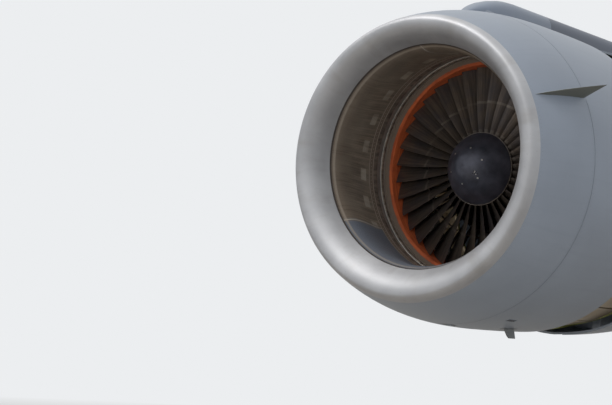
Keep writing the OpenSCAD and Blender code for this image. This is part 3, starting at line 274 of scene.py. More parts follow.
def panel_paint(name, base, seams=(), rivets=(), drop=DROP, dirt=0.5, under=None, inside=None):
    """Satin paint with mottling, rain streaks, grimy seams and rows of flush fasteners.

    The colour given for faces that look down is painted shade on undersides, and inside is that of the skin's
    inner faces."""
    g = Graph(name, base, 0.0, PAINT_ROUGH)
    angle, radius, y = g.polar(drop)
    cloud = g.cloud(1.3, 5)
    streak = g.streaks(4, (angle, 26.0), (y, 0.9))
    height = g.times(g.cloud(240.0, 2), 0.05)
    color = g.blend(cloud, 0.3, 0.72, shade(base, 0.92), shade(base, 1.07))
    rain = g.times(g.ramp(streak, (0.52, 0.0), (0.78, 1.0)), 0.35 * dirt)
    color = g.mix(rain, color, shade(base, 0.72))
    for station in seams:
        grime = g.times(g.band(y, station, SEAM_HALF, SEAM_GRIME), cloud, 0.6 * dirt)
        color = g.mix(grime, color, shade(base, 0.55))
    for station, pitch in rivets:
        away = g.length(g.minus(y, station), g.repeat(g.times(angle, radius), pitch))
        head = g.fade(away, FASTENER_R, FASTENER_EDGE)
        color = g.mix(g.times(head, 0.35), color, shade(base, 0.6))
        height = g.minus(height, g.times(head, 0.4))
    # Faces that look down take the darker colour given: painted shade
    if under:
        normal = g.node("ShaderNodeNewGeometry").outputs["Normal"]
        up = g.node("ShaderNodeSeparateXYZ", {0: normal}).outputs[2]
        color = g.mix(g.rise(-0.05, up, 6.0), color, under)
    if inside:
        inner = g.blend(cloud, 0.3, 0.7, shade(inside, 0.85), shade(inside, 1.1))
        color = g.mix(g.below(radius, skin_radius(g, y)), color, inner)
    g.bump(height, 0.25, 0.0015)
    return g.done(color, Roughness=g.spread(cloud, 0.12, PAINT_ROUGH - 0.06))


def metal(name, base, rough, metallic=1.0, stain=None, scale=6.0):
    """Machined or cast metal with clouded colour, fine grain and an optional stain."""
    g = Graph(name, base, metallic, rough)
    cloud = g.cloud(scale, 5)
    color = g.blend(cloud, 0.32, 0.7, shade(base, 0.82), shade(base, 1.12))
    if stain:
        color = g.blend(g.cloud(scale * 0.5, 6), 0.48, 0.66, color, stain, 0.8)
    g.bump(g.cloud(90.0, 3, (1, 0.2, 1)), 0.12, 0.001)
    return g.done(color, Roughness=g.spread(cloud, 0.22, rough - 0.1))


# Inlet barrel: three panels turned a little about the axis, with holes, patches and splices
PANEL_TURN, PANEL_SPAN = math.radians(5), math.radians(120)
HOLE_PITCH, HOLE_R, HOLE_EDGE = 0.011, 0.0016, 0.0012
PATCH_Y, PATCH_PITCH, PATCH_HALF, PATCH_EDGE = -0.41, math.radians(15), 0.050, 0.010
SPLICE_END_Y, PANELS_END_Y = -0.30, -0.294
# The recess's painted shadow ends at the first station; the land follows
RECESS_SHADOW_END_Y, LAND_Y = -0.966, -0.941
PALE_LINES_Y = (-0.290, -0.226)
SCREWS_Y, SCREW_PITCH, SCREW_R = -0.258, 0.032, 0.005


def barrel_liner():
    """Perforated panels with streaks, a painted shadow in the recess behind the lip and a screwed joint ahead
    of the fan.
    """
    g = Graph("barrel_liner", srgb(96, 88, 80), 0.2, 0.5)
    angle, _, y = g.polar()
    turned = g.plus(angle, PANEL_TURN)
    streak = g.streaks(5, (angle, 60.0), (y, 1.4))
    broad = g.streaks(4, (angle, 7.0), (y, 2.2))
    color = g.blend(streak, 0.34, 0.66, srgb(92, 81, 70), srgb(142, 130, 115))
    color = g.blend(broad, 0.4, 0.7, color, srgb(150, 139, 124), 0.5)
    color = g.blend(g.cloud(1.7, 5), 0.4, 0.7, color, srgb(104, 97, 90), 0.4)
    front = g.rise(-0.62, y, 4.0)
    color = g.mix(g.times(streak, 0.9, front), color, srgb(74, 64, 56))
    low = g.rise(g.math("ABSOLUTE", turned), PANEL_SPAN, 40.0)
    color = g.mix(g.times(low, 0.85), color, srgb(94, 102, 114))
    # Patches between the panels' stiffeners, above the low part
    around = g.band(g.repeat(turned, PATCH_PITCH), 0.0, PATCH_HALF, PATCH_EDGE)
    patch = g.times(around, g.band(y, PATCH_Y, PATCH_HALF, PATCH_EDGE))
    worn = g.ramp(broad, (0.3, 0.15), (0.6, 0.8))
    color = g.mix(g.times(patch, worn, g.minus(1.0, low)), color, srgb(182, 173, 158))
    # Splices between the three panels, each a bright seam on a plain strip
    splice = g.repeat(turned, PANEL_SPAN)
    ahead = g.below(y, SPLICE_END_Y)
    seam = g.times(g.band(splice, 0.0, 0.0025, 0.004), ahead)
    strip = g.times(g.band(splice, 0.0, 0.016, 0.006), ahead)
    color = g.mix(g.times(strip, 0.5), color, srgb(104, 100, 96))
    color = g.mix(g.times(seam, 0.8), color, srgb(168, 162, 152))
    # Painted shadow in the recess behind the lip, the land behind it, and the aft joint with two pale lines
    # and a row of screws
    color = g.mix(g.below(y, RECESS_SHADOW_END_Y), color, srgb(58, 52, 48))
    color = g.mix(g.times(g.band(y, LAND_Y, 0.010, 0.004), 0.55), color, srgb(150, 140, 128))
    joint = g.above(y, PANELS_END_Y)
    color = g.mix(joint, color, srgb(112, 99, 87))
    for station in PALE_LINES_Y:
        color = g.mix(g.times(g.band(y, station, 0.004, 0.003), 0.85), color, srgb(168, 158, 146))
    screw = g.length(g.repeat(angle, SCREW_PITCH), g.minus(y, SCREWS_Y))
    color = g.mix(g.times(g.below(screw, SCREW_R), 0.7), color, srgb(176, 170, 160))
    # Holes of the panels, dark dots of painted shade, dented by the bump
    away = g.length(g.repeat(angle, HOLE_PITCH), g.repeat(y, HOLE_PITCH))
    hole = g.times(g.minus(1.0, joint), g.minus(1.0, strip), g.fade(away, HOLE_R, HOLE_EDGE))
    color = g.mix(g.times(hole, 0.6), color, srgb(26, 23, 21))
    g.bump(g.minus(g.times(seam, 0.6), hole), 0.25, 0.001)
    return g.done(color, Roughness=g.spread(streak, 0.25, 0.40))


# Fan case: its bore is under BORE_R, and the band, ring and pads lie in it ahead of the fan
BORE_R, BAND_END_Y, RING_Y = 1.082, -0.028, -0.014
PAD_Y, PAD_PITCH, PAD_TURN = -0.112, math.radians(28), math.radians(1)
PAD_HALF_ANGLE, PAD_HALF_Y = 0.028, 0.015


def case_band():
    """Alloy of the fan case, with a dark band, pale oval pads and a bright ring ahead of the fan."""
    base = srgb(160, 157, 152)
    g = Graph("fan_case_alloy", base, 0.7, 0.45)
    angle, radius, y = g.polar()
    cloud = g.cloud(6.0, 5)
    color = g.blend(cloud, 0.32, 0.7, shade(base, 0.8), shade(base, 1.1))
    inside = g.below(radius, BORE_R)
    front = g.times(inside, g.below(y, BAND_END_Y))
    grime = g.streaks(4, (angle, 30.0), (y, 8.0))
    color = g.mix(front, color, g.blend(grime, 0.35, 0.65, srgb(74, 66, 59), srgb(124, 112, 101)))
    around = g.over(g.repeat(g.plus(angle, PAD_TURN), PAD_PITCH), PAD_HALF_ANGLE)
    along = g.over(g.minus(y, PAD_Y), PAD_HALF_Y)
    pad = g.times(g.below(g.length(around, along), 1.0), inside)
    color = g.mix(g.times(pad, 0.85), color, srgb(196, 188, 176))
    ring = g.times(inside, g.band(y, RING_Y, 0.010, 0.004))
    color = g.mix(g.times(ring, 0.8), color, srgb(176, 168, 158))
    g.bump(g.cloud(90.0, 3), 0.1, 0.001)
    metallic = g.minus(0.7, g.times(front, 0.5))
    return g.done(color, Metallic=metallic, Roughness=g.spread(cloud, 0.2, 0.36))


RUB_R, RUB_RAGGED = 1.022, 0.02


def rust_lining():
    """Rub strip around the blade tips, grey beyond a ragged edge."""
    g = Graph("rust_lining", srgb(168, 78, 38), 0.0, 0.75)
    angle, radius, y = g.polar()
    rub = g.streaks(5, (angle, 3.0), (y, 90.0))
    color = g.blend(rub, 0.35, 0.7, srgb(140, 62, 30), srgb(186, 92, 48))
    color = g.blend(g.cloud(9.0, 5), 0.5, 0.75, color, srgb(112, 52, 30), 0.6)
    edge = g.spread(g.streaks(3, (angle, 40.0)), RUB_RAGGED, RUB_R)
    color = g.mix(g.above(radius, edge), color, srgb(96, 84, 74))
    g.bump(g.cloud(180.0, 3), 0.3, 0.001)
    return g.done(color)


# Front faces of the shrouds and the platforms, painted lighter: partly wear, partly a painted highlight where
# they face forward
SHROUD_FRONT_Y, SHROUD_HALF = 0.1215, 0.010
PLATFORM_FRONT_Y, PLATFORM_FRONT_R, PLATFORM_HALF = 0.060, 0.366, 0.012


def blade_metal():
    g = Graph("blade_metal", srgb(74, 70, 70), 0.7, 0.42)
    angle, radius, y = g.polar()
    span = g.streaks(4, (angle, 60.0), (radius, 2.0), (y, 14.0))
    cloud = g.cloud(5.0, 4)
    color = g.blend(span, 0.3, 0.7, srgb(72, 66, 62), srgb(112, 101, 91))
    color = g.blend(cloud, 0.4, 0.7, color, srgb(70, 70, 78), 0.6)
    # Lighter shroud front faces: painted highlight, broken up by worn patches
    pad = g.times(g.band(radius, SHROUD_R, SHROUD_HALF, 0.004), g.below(y, SHROUD_FRONT_Y))
    worn = g.ramp(cloud, (0.35, 0.1), (0.7, 0.6))
    color = g.mix(g.times(pad, worn), color, srgb(150, 142, 132))
    # Lighter platform front faces: painted highlight
    root = g.times(g.band(radius, PLATFORM_FRONT_R, PLATFORM_HALF, 0.010), g.below(y, PLATFORM_FRONT_Y))
    color = g.mix(g.times(root, 0.35), color, srgb(140, 134, 126))
    g.bump(span, 0.08, 0.001)
    return g.done(color, Roughness=g.spread(cloud, 0.2, 0.32))


def spinner_coat():
    g = Graph("spinner_coat", srgb(36, 37, 44), 0.35, 0.42)
    cloud = g.cloud(7.0, 5)
    speck = g.cloud(130.0, 2)
    color = g.blend(cloud, 0.35, 0.7, srgb(52, 54, 64), srgb(80, 82, 94))
    color = g.blend(speck, 0.72, 0.78, color, srgb(90, 86, 82), 0.5)
    g.bump(speck, 0.08, 0.001)
    return g.done(color, Roughness=g.spread(cloud, 0.14, 0.36))


# Inside this radius the primer takes painted shade
PRIMER_SHADE_R = 1.19


def primer_paint():
    """Green primer, grimy in patches, and darker towards the core with painted shade."""
    base = srgb(128, 134, 70)
    g = Graph("primer", base, 0.0, 0.6)
    _, radius, _ = g.polar()
    color = g.blend(g.cloud(5.0, 5), 0.35, 0.7, shade(base, 0.7), shade(base, 1.15))
    color = g.blend(g.cloud(14.0, 5), 0.55, 0.7, color, srgb(60, 52, 40), 0.6)
    # Darker grey inside the radius: painted shade deep in the nacelle
    color = g.mix(g.times(g.below(radius, PRIMER_SHADE_R), 0.85), color, srgb(66, 64, 60))
    g.bump(g.cloud(150.0, 2), 0.2, 0.001)
    return g.done(color)


def hot_metal():
    """Nickel alloy with heat tints that change along the engine."""
    base = srgb(150, 138, 124)
    g = Graph("hot_alloy", base, 1.0, 0.4)
    angle, _, y = g.polar()
    tint = g.streaks(5, (angle, 1.4), (y, 4.0))
    straw, blue = srgb(158, 132, 100), srgb(116, 112, 124)
    color = g.ramp(tint, (0.3, shade(base, 0.75)), (0.45, straw), (0.58, blue), (0.72, base))
    streak = g.streaks(4, (angle, 50.0), (y, 2.0))
    color = g.blend(streak, 0.5, 0.75, color, srgb(70, 58, 48), 0.45)
    g.bump(g.cloud(90.0, 3, (1, 0.3, 1)), 0.12, 0.001)
    return g.done(color, Roughness=g.spread(streak, 0.3, 0.28))


COWL = srgb(124, 132, 143)
SLATE = srgb(78, 86, 100)
# The streaks of the pylon's paint run about an axis far above the engine's
PYLON_DROP = -1.3
# Rows of fasteners as station and pitch
COWL_RIVETS = ((-1.105, 0.035), (-0.470, 0.04), (-0.405, 0.04), (0.895, 0.04))
SLEEVE_RIVETS = ((1.76, 0.05), (3.55, 0.05))

mats = {
    "lip": lip_metal(),
    "cowl": panel_paint("cowl_paint", COWL, (-0.4375, 0.930), COWL_RIVETS, inside=srgb(150, 150, 128)),
    "sleeve": panel_paint("sleeve_paint", COWL, (1.722,), SLEEVE_RIVETS),
    "pylon": panel_paint("pylon_paint", SLATE, drop=PYLON_DROP, dirt=0.8),
    "prow": panel_paint("prow_paint", srgb(116, 125, 138), drop=PYLON_DROP, dirt=0.6),
    # The strake's darker underside is painted shade
    "strake": panel_paint("strake_paint", srgb(140, 146, 150), dirt=0.7, under=srgb(84, 86, 78)),
    "barrel": barrel_liner(),
    "rust": rust_lining(),
    "blade": blade_metal(),
    "spinner": spinner_coat(),
    "primer": primer_paint(),
    "fan_case": case_band(),
    "vane": metal("vane_alloy", srgb(92, 88, 84), 0.5, metallic=0.6, stain=srgb(64, 58, 52)),
    "case": metal("case_alloy", srgb(166, 164, 160), 0.42, stain=srgb(110, 100, 90)),
    "hot": hot_metal(),
    "core": metal("core_skin", srgb(170, 166, 160), 0.36, stain=srgb(140, 122, 100), scale=3.0),
    "rotor": metal("rotor_steel", srgb(132, 130, 130), 0.36),
    "bearing": metal("bearing_steel", srgb(200, 200, 204), 0.22),
    "cascade": metal("cascade_alloy", srgb(186, 176, 158), 0.42, stain=srgb(150, 128, 98), scale=3.0),
    "door": panel_paint("door_paint", srgb(126, 128, 126), dirt=0.9),
    "enamel": metal("accessory_enamel", srgb(112, 116, 116), 0.45, metallic=0.2),
    "mast": panel_paint("mast_paint", srgb(92, 96, 98), dirt=0.8),
    # Black for the spinner's holes and the vent's slot: painted shade in openings
    "black": metal("black_painted_shade", srgb(18, 18, 20), 0.7, metallic=0.0),
    "bright": metal("bright_steel", srgb(205, 203, 198), 0.3),
}

# The nodes that each material dresses
FINISH = {
    "lip": ["inlet_lip"],
    "cowl": ["inlet_skin", "fan_cowl_right", "fan_cowl_left", "top_apron", "cowl_latches"],
    "sleeve": ["sleeve_right", "sleeve_left"],
    "pylon": ["pylon_fairing", "pylon_tail"],
    "prow": ["pylon_prow"],
    "strake": ["strakes"],
    "barrel": ["inlet_barrel"],
    "rust": ["fan_rub_strip"],
    "blade": ["fan_blades", "fan_disc"],
    "spinner": ["spinner"],
    "primer": ["pylon_beam", "front_mount", "rear_mount", "inlet_bulkhead",
               "reverser_frame_right", "reverser_frame_left"],
    "fan_case": ["inlet_flange", "fan_case"],
    "vane": ["guide_vanes"],
    "case": ["fan_frame", "compressor_case", "fuel_manifold", "thrust_links", "oil_tank"],
    "hot": ["combustor_case", "combustor_liner", "turbine_case", "exhaust_case", "core_nozzle",
            "exhaust_plug"],
    "core": ["core_cowl_right", "core_cowl_left"],
    "rotor": ["booster_rotor", "shaft", "low_turbine", "compressor_rotor", "high_turbine"],
    "bearing": ["bearings"],
    "cascade": ["cascades_right", "cascades_left"],
    "door": [name for name in nodes if name.startswith("door_")],
    "enamel": ["gearbox", "starter", "generator", "fuel_pump"],
}
WELD_REACH = 2e-5
SMOOTH_ANGLE = math.radians(28)


def dress(obj, mat):
    """Gives a CAD node its material and smooth shading across its fine facets."""
    obj.data.materials.clear()
    obj.data.materials.append(mat)
    for poly in obj.data.polygons:
        poly.use_smooth = True
    weld = obj.modifiers.new("weld", "WELD")
    weld.merge_threshold = WELD_REACH
    split = obj.modifiers.new("split", "EDGE_SPLIT")
    split.split_angle = SMOOTH_ANGLE


for finish, names in FINISH.items():
    for name in names:
        dress(nodes[name], mats[finish])


# Pieces
def piece(name, bm, mat, body="root", angle=30.0):
    """Makes a mesh a piece that rides on a body, with edges over the angle left sharp."""
    bm.normal_update()
    mesh = bpy.data.meshes.new(name)
    bm.to_mesh(mesh)
    bm.free()
    for poly in mesh.polygons:
        poly.use_smooth = True
    mesh.set_sharp_from_angle(angle=math.radians(angle))
    mesh.materials.append(mat)
    obj = bpy.data.objects.new(name, mesh)
    bpy.context.scene.collection.objects.link(obj)
    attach(obj, body)
    return obj


def closed_piece(name, bm, mat, body="root", angle=30.0):
    """A piece whose faces are first turned outward."""
    bmesh.ops.recalc_face_normals(bm, faces=bm.faces)
    return piece(name, bm, mat, body, angle)


def loft(bm, rings, joined=False):
    """Skins rings of equal point counts, and joins the last to the first if asked."""
    rows = [[bm.verts.new(p) for p in ring] for ring in rings]
    following = rows[1:] + (rows[:1] if joined else [])
    for a, b in zip(rows, following):
        n = len(a)
        for j in range(n):
            bm.faces.new((a[j], a[(j + 1) % n], b[(j + 1) % n], b[j]))
    return rows


def capped_loft(bm, rings):
    rows = loft(bm, rings)
    bm.faces.new(rows[0][::-1])
    bm.faces.new(rows[-1])


# The lip's section as two curves and two back edges: station, radius and height of the ring's centre
LIP_FRONT_Y, LIP_REAR_Y = -1.212, -0.985
HIGHLIGHT = (LIP_FRONT_Y, 1.238, -DROP)
LIP_OUTER = [(LIP_END_Y, 1.306, -DROP), (-1.170, 1.289, -DROP), (LIP_FRONT_Y, 1.274, -DROP), HIGHLIGHT]
LIP_INNER = [HIGHLIGHT, (LIP_FRONT_Y, 1.138, -0.7 * DROP), (-1.095, 1.084, -0.2 * DROP),
             (LIP_REAR_Y, 1.032, 0.0)]
LIP_BACK = [(LIP_REAR_Y, 1.076, 0.0), (LIP_END_Y, 1.278, -DROP)]
OUTER_STEPS, INNER_STEPS = 16, 28
LIP_SIDES = 240


def bezier(p, t):
    u = 1 - t
    weights = (u ** 3, 3 * t * u * u, 3 * t * t * u, t ** 3)
    return [sum(weight * point[k] for weight, point in zip(weights, p)) for k in range(3)]


def lip_ring(y, r, z):
    turns = [TURN * j / LIP_SIDES for j in range(LIP_SIDES)]
    return [engine(r * math.sin(a), y, z + r * math.cos(a)) for a in turns]


def inlet_lip():
    """Drooped lip as one fine skin."""
    bm = bmesh.new()
    section = [bezier(LIP_OUTER, i / OUTER_STEPS) for i in range(OUTER_STEPS + 1)]
    section += [bezier(LIP_INNER, i / INNER_STEPS) for i in range(1, INNER_STEPS + 1)]
    loft(bm, [lip_ring(*spot) for spot in section + LIP_BACK], joined=True)
    lip = closed_piece("lip_skin", bm, mats["lip"])
    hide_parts("inlet_lip")


inlet_lip()


# Blade sections: share of the span, share of the chord, stagger in degrees, thickness and camber in mm
SECTIONS = [(0.0, 1.00, 18, 26, 26), (0.2, 1.02, 30, 21, 24), (0.45, 1.04, 42, 16, 18),
            (0.7, 1.08, 52, 12, 12), (0.88, 1.10, 57, 9, 8), (1.0, 1.10, 60, 7, 6)]
CHORD, BLADE_Y = 0.235, 0.148
SPAN_STEPS, CHORD_STEPS = 16, 12

# Platform under each blade: its ends, and the heights of its base, of the blade's foot and of its top
PLATFORM_Y = (0.024, 0.274)
PLATFORM_BASE, BLADE_FOOT, PLATFORM_TOP = 0.0003, 0.0039, 0.0063
PLATFORM_GAP = 0.0009
PLATFORM_STEPS = 6

# Shroud section as distances aft and outward, tilted about its middle
SHROUD_SHAPE = [(-0.034, 0.0), (-0.028, -0.003), (0.026, -0.005),
                (0.034, 0.0), (0.026, 0.005), (-0.028, 0.003)]
SHROUD_TILT = math.radians(12)
SHROUD_DEPTH, SHROUD_GAP = 0.013, 0.0003


def blade_section(t):
    """Chord share, stagger, thickness and camber at a share of the span."""
    for low, high in zip(SECTIONS, SECTIONS[1:]):
        if t <= high[0]:
            u = (t - low[0]) / (high[0] - low[0])
            return [p + (q - p) * u for p, q in zip(low[1:], high[1:])]


def blade_ring(t):
    """The blade's outline at a share of its span, laid on a cylinder about the axis."""
    share, stagger, thick, camber = blade_section(t)
    r = HUB_R + BLADE_FOOT + (TIP_R - HUB_R - BLADE_FOOT) * t
    chord = CHORD * share / math.cos(math.radians(stagger * 0.35))
    s, c = math.sin(math.radians(stagger)), math.cos(math.radians(stagger))
    points = []
    for side in (-1, 1):
        for i in range(CHORD_STEPS):
            along = i / CHORD_STEPS if side < 0 else 1 - i / CHORD_STEPS
            a = chord * (along - 0.5)
            bow = camber * 4 * along * (1 - along)
            out = (bow + side * thick / 2 * math.sin(math.pi * along) ** 0.7) * MM
            x = a * s + out * c
            points.append((x, BLADE_Y + a * c - out * s, math.sqrt(r * r - x * x)))
    return points


def platform_rings():
    half = HUB_R * math.sin(math.pi / BLADES) - PLATFORM_GAP
    root_stagger, root_camber = math.radians(SECTIONS[0][2]), SECTIONS[0][4] * MM
    across = range(PLATFORM_STEPS + 1)
    rings = []
    for y in PLATFORM_Y:
        x0 = (y - BLADE_Y) * math.tan(root_stagger) + root_camber * 0.65
        ring = []
        for r, order in ((HUB_R + PLATFORM_BASE, across), (HUB_R + PLATFORM_TOP, reversed(across))):
            for i in order:
                x = x0 + half * (i / (PLATFORM_STEPS / 2) - 1)
                ring.append((x, y, math.sqrt(r * r - x * x)))
        rings.append(ring)
    return rings


def shroud_rings():
    reach = (SHROUD_R - SHROUD_DEPTH) * math.tan(math.pi / BLADES) - SHROUD_GAP
    c, s = math.cos(SHROUD_TILT), math.sin(SHROUD_TILT)
    return [[(x, BLADE_Y + y * c - z * s, SHROUD_R + y * s + z * c) for y, z in SHROUD_SHAPE]
            for x in (-reach, reach)]


def fan_blades():
    """The blades as fine twisted skins, each with its platform and shroud."""
    bm = bmesh.new()
    blade = [blade_ring(i / SPAN_STEPS) for i in range(SPAN_STEPS + 1)]
    for k in range(BLADES):
        a = TURN * k / BLADES
        c, s = math.cos(a), math.sin(a)
        for rings in (blade, platform_rings(), shroud_rings()):
            capped_loft(bm, [[engine(x * c + z * s, y, z * c - x * s) for x, y, z in ring] for ring in rings])
    fan = closed_piece("fan_blade_skins", bm, mats["blade"], "low_spool", 35.0)
    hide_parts("fan_blades")


fan_blades()


# Spinner: station of its base, and length and fullness of the dome
DOME_Y, DOME_LENGTH, DOME_POWER = 0.018, 0.300, 1.15
STUD_SIDES = 12
# Spots on the dome as angle in degrees and radius
BOLTS = [(60 * (k + 0.2), 0.175) for k in range(6)]
HOLES = [(118, 0.118), (124, 0.136), (114, 0.140), (120, 0.155), (129, 0.122)]
SCREWS = [(121, 0.128), (116, 0.128), (125, 0.147)]


def dome(r):
    """Station of the spinner's surface at a radius."""
    return DOME_Y - DOME_LENGTH * (1 - (r / HUB_R) ** 2) ** (1 / DOME_POWER)


def dome_point(angle, r):
    """Place and normal on the spinner."""
    slope = (dome(r + 0.001) - dome(r - 0.001)) / 0.002
    place = engine(r * math.sin(angle), dome(r), r * math.cos(angle))
    return place, Vector((slope * math.sin(angle), -1.0, slope * math.cos(angle))).normalized()


def stud(bm, place, normal, r, h, top):
    """Low round head standing on a surface, its flat face a share of its radius."""
    turn = normal.to_track_quat("Z", "Y").to_matrix()
    angles = [TURN * i / STUD_SIDES for i in range(STUD_SIDES)]
    rings = []
    for reach, z in ((r, -h), (r, h * 0.6), (top * r, h)):
        rings.append([place + turn @ Vector((reach * math.cos(a), reach * math.sin(a), z)) for a in angles])
    bm.faces.new(loft(bm, rings)[-1])


def studs(name, mat, spots, r, h, top=0.8):
    bm = bmesh.new()
    for angle, away in spots:
        stud(bm, *dome_point(math.radians(angle), away), r, h, top)
    piece(name, bm, mat, "low_spool")


studs("spinner_bolts", mats["bright"], BOLTS, 0.0085, 0.003)
# Thin black discs standing for the holes: painted shade
studs("spinner_hole_shades", mats["black"], HOLES, 0.0052, 0.0006, top=0.95)
studs("spinner_screws", mats["bright"], SCREWS, 0.0040, 0.0016)


# Vent in the right cowl: a slot, drawn as a thin black sheet of painted shade, with a rim around it and slats
# across it
SKIN_SINK = 0.002
VENT_ANGLE, VENT_R = math.radians(160), 1.49
SLOT_HALF, SLOT_Y, SLOT_H = 0.022, (-0.172, -0.046), 0.0010
RIM_HALF, RIM_Y, RIM_H = 0.0016, (-0.176, -0.042), 0.0022
BAR_W, SLAT_H = 0.003, 0.002
SLATS_Y = [-0.150 + 0.026 * i for i in range(4)]


def skin_block(bm, angle, half_w, y0, y1, height, steps=4):
    """Block that follows the skin between two stations, from just inside it to a height above it."""
    corners = ((-SKIN_SINK, -1), (-SKIN_SINK, 1), (height, 1), (height, -1))
    rings = []
    for i in range(steps + 1):
        y = y0 + (y1 - y0) * i / steps
        r = skin_r(y)
        rings.append([nacelle(angle + side * half_w / r, r + up, y) for up, side in corners])
    capped_loft(bm, rings)


def vent():
    bm = bmesh.new()
    # The slot is a black sheet just over the skin: painted shade in the opening
    skin_block(bm, VENT_ANGLE, SLOT_HALF, *SLOT_Y, SLOT_H)
    closed_piece("vent_slot_shade", bm, mats["black"], "fan_cowl_right")
    bm = bmesh.new()
    for side in (-1, 1):
        skin_block(bm, VENT_ANGLE + side * (SLOT_HALF + RIM_HALF) / VENT_R, RIM_HALF, *RIM_Y, RIM_H)
    for y in (RIM_Y[0], RIM_Y[1] - BAR_W):
        skin_block(bm, VENT_ANGLE, SLOT_HALF, y, y + BAR_W, RIM_H, 1)
    for y in SLATS_Y:
        skin_block(bm, VENT_ANGLE, SLOT_HALF, y, y + BAR_W, SLAT_H, 1)
    closed_piece("vent_louvres", bm, mats["cowl"], "fan_cowl_right")


vent()


STRAKE_ANGLE = math.radians(66)
STRAKE_Y, STRAKE_LENGTH, STRAKE_STEPS = -1.083, 0.611, 24
STRAKE_TOE, STRAKE_RISE, STRAKE_POWER = 0.004, 0.250, 0.92
STRAKE_HALF, STRAKE_RAKE, STRAKE_GAP = 0.007, 0.018, 0.0004
# Half section from root to free edge: share of the height and of the half thickness
STRAKE_SECTION = [(0.0, 1.0), (0.35, 0.95), (0.8, 0.7), (0.96, 0.45), (1.0, 0.12)]


def strake_ring(side, t):
    """Section across a strake at a share of its length."""
    y = STRAKE_Y + STRAKE_LENGTH * t
    root = skin_r(y) + STRAKE_GAP
    height = STRAKE_TOE + STRAKE_RISE * t ** STRAKE_POWER
    half = STRAKE_HALF * min(1.0, 0.25 + 3 * t, 0.25 + 12 * (1 - t))
    face = [(height * share, half * width) for share, width in STRAKE_SECTION]
    ring = []
    for up, across in face + [(up, -across) for up, across in reversed(face)]:
        r = root + up
        rake = STRAKE_RAKE * (1 - up / (STRAKE_TOE + STRAKE_RISE)) * t
        ring.append(nacelle(side * STRAKE_ANGLE + across / r, r, y + rake))
    return ring


def strakes():
    """Swept chines, thickest at the root and rounded along their free edges."""
    bm = bmesh.new()
    for side in (-1, 1):
        capped_loft(bm, [strake_ring(side, i / STRAKE_STEPS) for i in range(STRAKE_STEPS + 1)])
    fins = closed_piece("strake_skins", bm, mats["strake"])
    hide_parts("strakes")


strakes()


MAST_ANGLE, MAST_R, MAST_SIDES = math.radians(170), 1.5, 16
# Sections of the mast: height above the skin, front, back and half thickness
MAST_SECTIONS = [(-0.008, 0.185, 0.372, 0.016), (0.0, 0.185, 0.372, 0.013), (0.035, 0.200, 0.373, 0.011),
                 (0.072, 0.226, 0.376, 0.010), (0.090, 0.252, 0.378, 0.007)]
FOOT_HALF, FOOT_Y, FOOT_H = 0.030, (0.165, 0.392), 0.0025


def drain_mast():
    """Blade-shaped mast under the right cowl, with its foot plate."""
    bm = bmesh.new()
    rings = []
    for up, front, back, half in MAST_SECTIONS:
        ring = []
        for i in range(MAST_SIDES):
            a = TURN * i / MAST_SIDES
            y = (front + back) / 2 - (back - front) / 2 * math.cos(a)
            across = half * math.copysign(abs(math.sin(a)) ** 0.7, math.sin(a))
            ring.append(nacelle(MAST_ANGLE + across / MAST_R, skin_r(y) + up, y))
        rings.append(ring)
    capped_loft(bm, rings)
    skin_block(bm, MAST_ANGLE, FOOT_HALF, *FOOT_Y, FOOT_H)
    closed_piece("drain_mast", bm, mats["mast"], "fan_cowl_right")


drain_mast()


# Stage and light
BACKDROP = srgb(236, 238, 240)
WHITE = (1.0, 1.0, 1.0, 1)
FLOOR_Z, FLOOR_R = -5.2, 90.0
# The floor turns into the backdrop over this stretch from the middle
FADE_START, FADE_WIDTH = 9.0, 15.0


def make_stage():
    bm = bmesh.new()
    bmesh.ops.create_circle(bm, cap_ends=True, segments=96, radius=FLOOR_R)
    mesh = bpy.data.meshes.new("floor")
    bm.to_mesh(mesh)
    bm.free()
    floor = bpy.data.objects.new("floor", mesh)
    floor.location = (0, 0, FLOOR_Z)
    bpy.context.scene.collection.objects.link(floor)
    g = Graph("floor", srgb(196, 190, 182), 0.0, 0.9)
    co = g.node("ShaderNodeTexCoord").outputs["Object"]
    away = g.node("ShaderNodeVectorMath", {0: co}, operation="LENGTH").outputs["Value"]
    far = g.math("DIVIDE", g.minus(away, FADE_START), FADE_WIDTH, clamp=True)
    glow = g.node("ShaderNodeEmission", {"Color": BACKDROP, "Strength": 1.0}).outputs[0]
    mixed = g.node("ShaderNodeMixShader", {0: far, 1: g.bsdf.outputs[0], 2: glow}).outputs[0]
    g.set(g.tree.nodes["Material Output"], {"Surface": mixed})
    mesh.materials.append(g.mat)


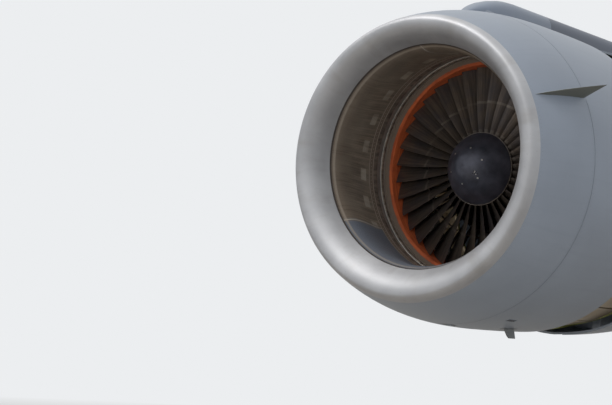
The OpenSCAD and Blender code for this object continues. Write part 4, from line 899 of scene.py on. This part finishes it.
def make_world():
    """Pale sky that brightens upward.

    The camera sees the plain backdrop, gloss and glass see the sky, and the object is lit softly."""
    world = bpy.data.worlds.new("studio")
    bpy.context.scene.world = world
    world.use_nodes = True
    w = Nodes(world.node_tree)
    w.tree.nodes.clear()

    def background(color, strength):
        return w.node("ShaderNodeBackground", {"Color": color, "Strength": strength}).outputs[0]

    def either(fac, a, b):
        return w.node("ShaderNodeMixShader", {0: fac, 1: a, 2: b}).outputs[0]

    co = w.node("ShaderNodeTexCoord").outputs["Generated"]
    up = w.node("ShaderNodeSeparateXYZ", {0: co}).outputs[2]
    height = w.node("ShaderNodeMath", {0: up, 1: 0.5, 2: 0.5}, operation="MULTIPLY_ADD").outputs[0]
    light = w.ramp(height, (0.42, (0.42, 0.39, 0.35, 1)), (0.55, (0.55, 0.60, 0.68, 1)), (0.95, WHITE))
    sky = w.ramp(height, (0.46, srgb(176, 170, 162)), (0.50, BACKDROP), (0.62, BACKDROP), (0.95, WHITE))
    path = w.node("ShaderNodeLightPath").outputs
    mirrored = w.math("MAXIMUM", path["Is Glossy Ray"], path["Is Transmission Ray"])
    unseen = either(mirrored, background(light, 0.55), background(sky, 1.0))
    mixed = either(path["Is Camera Ray"], unseen, background(BACKDROP, 1.0))
    w.node("ShaderNodeOutputWorld", {"Surface": mixed})


def area(name, place, target, size, power, color, gloss):
    """Lamp at a place that shines at a target, and shows in gloss or not."""
    lamp = bpy.data.lights.new(name, "AREA")
    lamp.shape = "RECTANGLE"
    lamp.size, lamp.size_y = size
    lamp.energy = power
    lamp.color = color
    obj = bpy.data.objects.new(name, lamp)
    obj.location = place
    obj.rotation_mode = "QUATERNION"
    obj.rotation_quaternion = (Vector(target) - Vector(place)).to_track_quat("-Z", "Y")
    obj.visible_glossy = gloss
    bpy.context.scene.collection.objects.link(obj)


make_stage()
make_world()
area("key", (-2.5, -8.5, 9.5), (0, -2.5, -1.7), (9.0, 7.0), 1150, (1.0, 0.98, 0.95), True)
area("fill", (9.0, -9.0, 1.0), (0, -2.0, -1.7), (5.0, 5.0), 260, (0.88, 0.93, 1.0), False)
area("bounce", (2.0, -15.0, -1.6), (0, -2.9, -1.5), (7.0, 3.0), 300, (1.0, 0.93, 0.83), False)
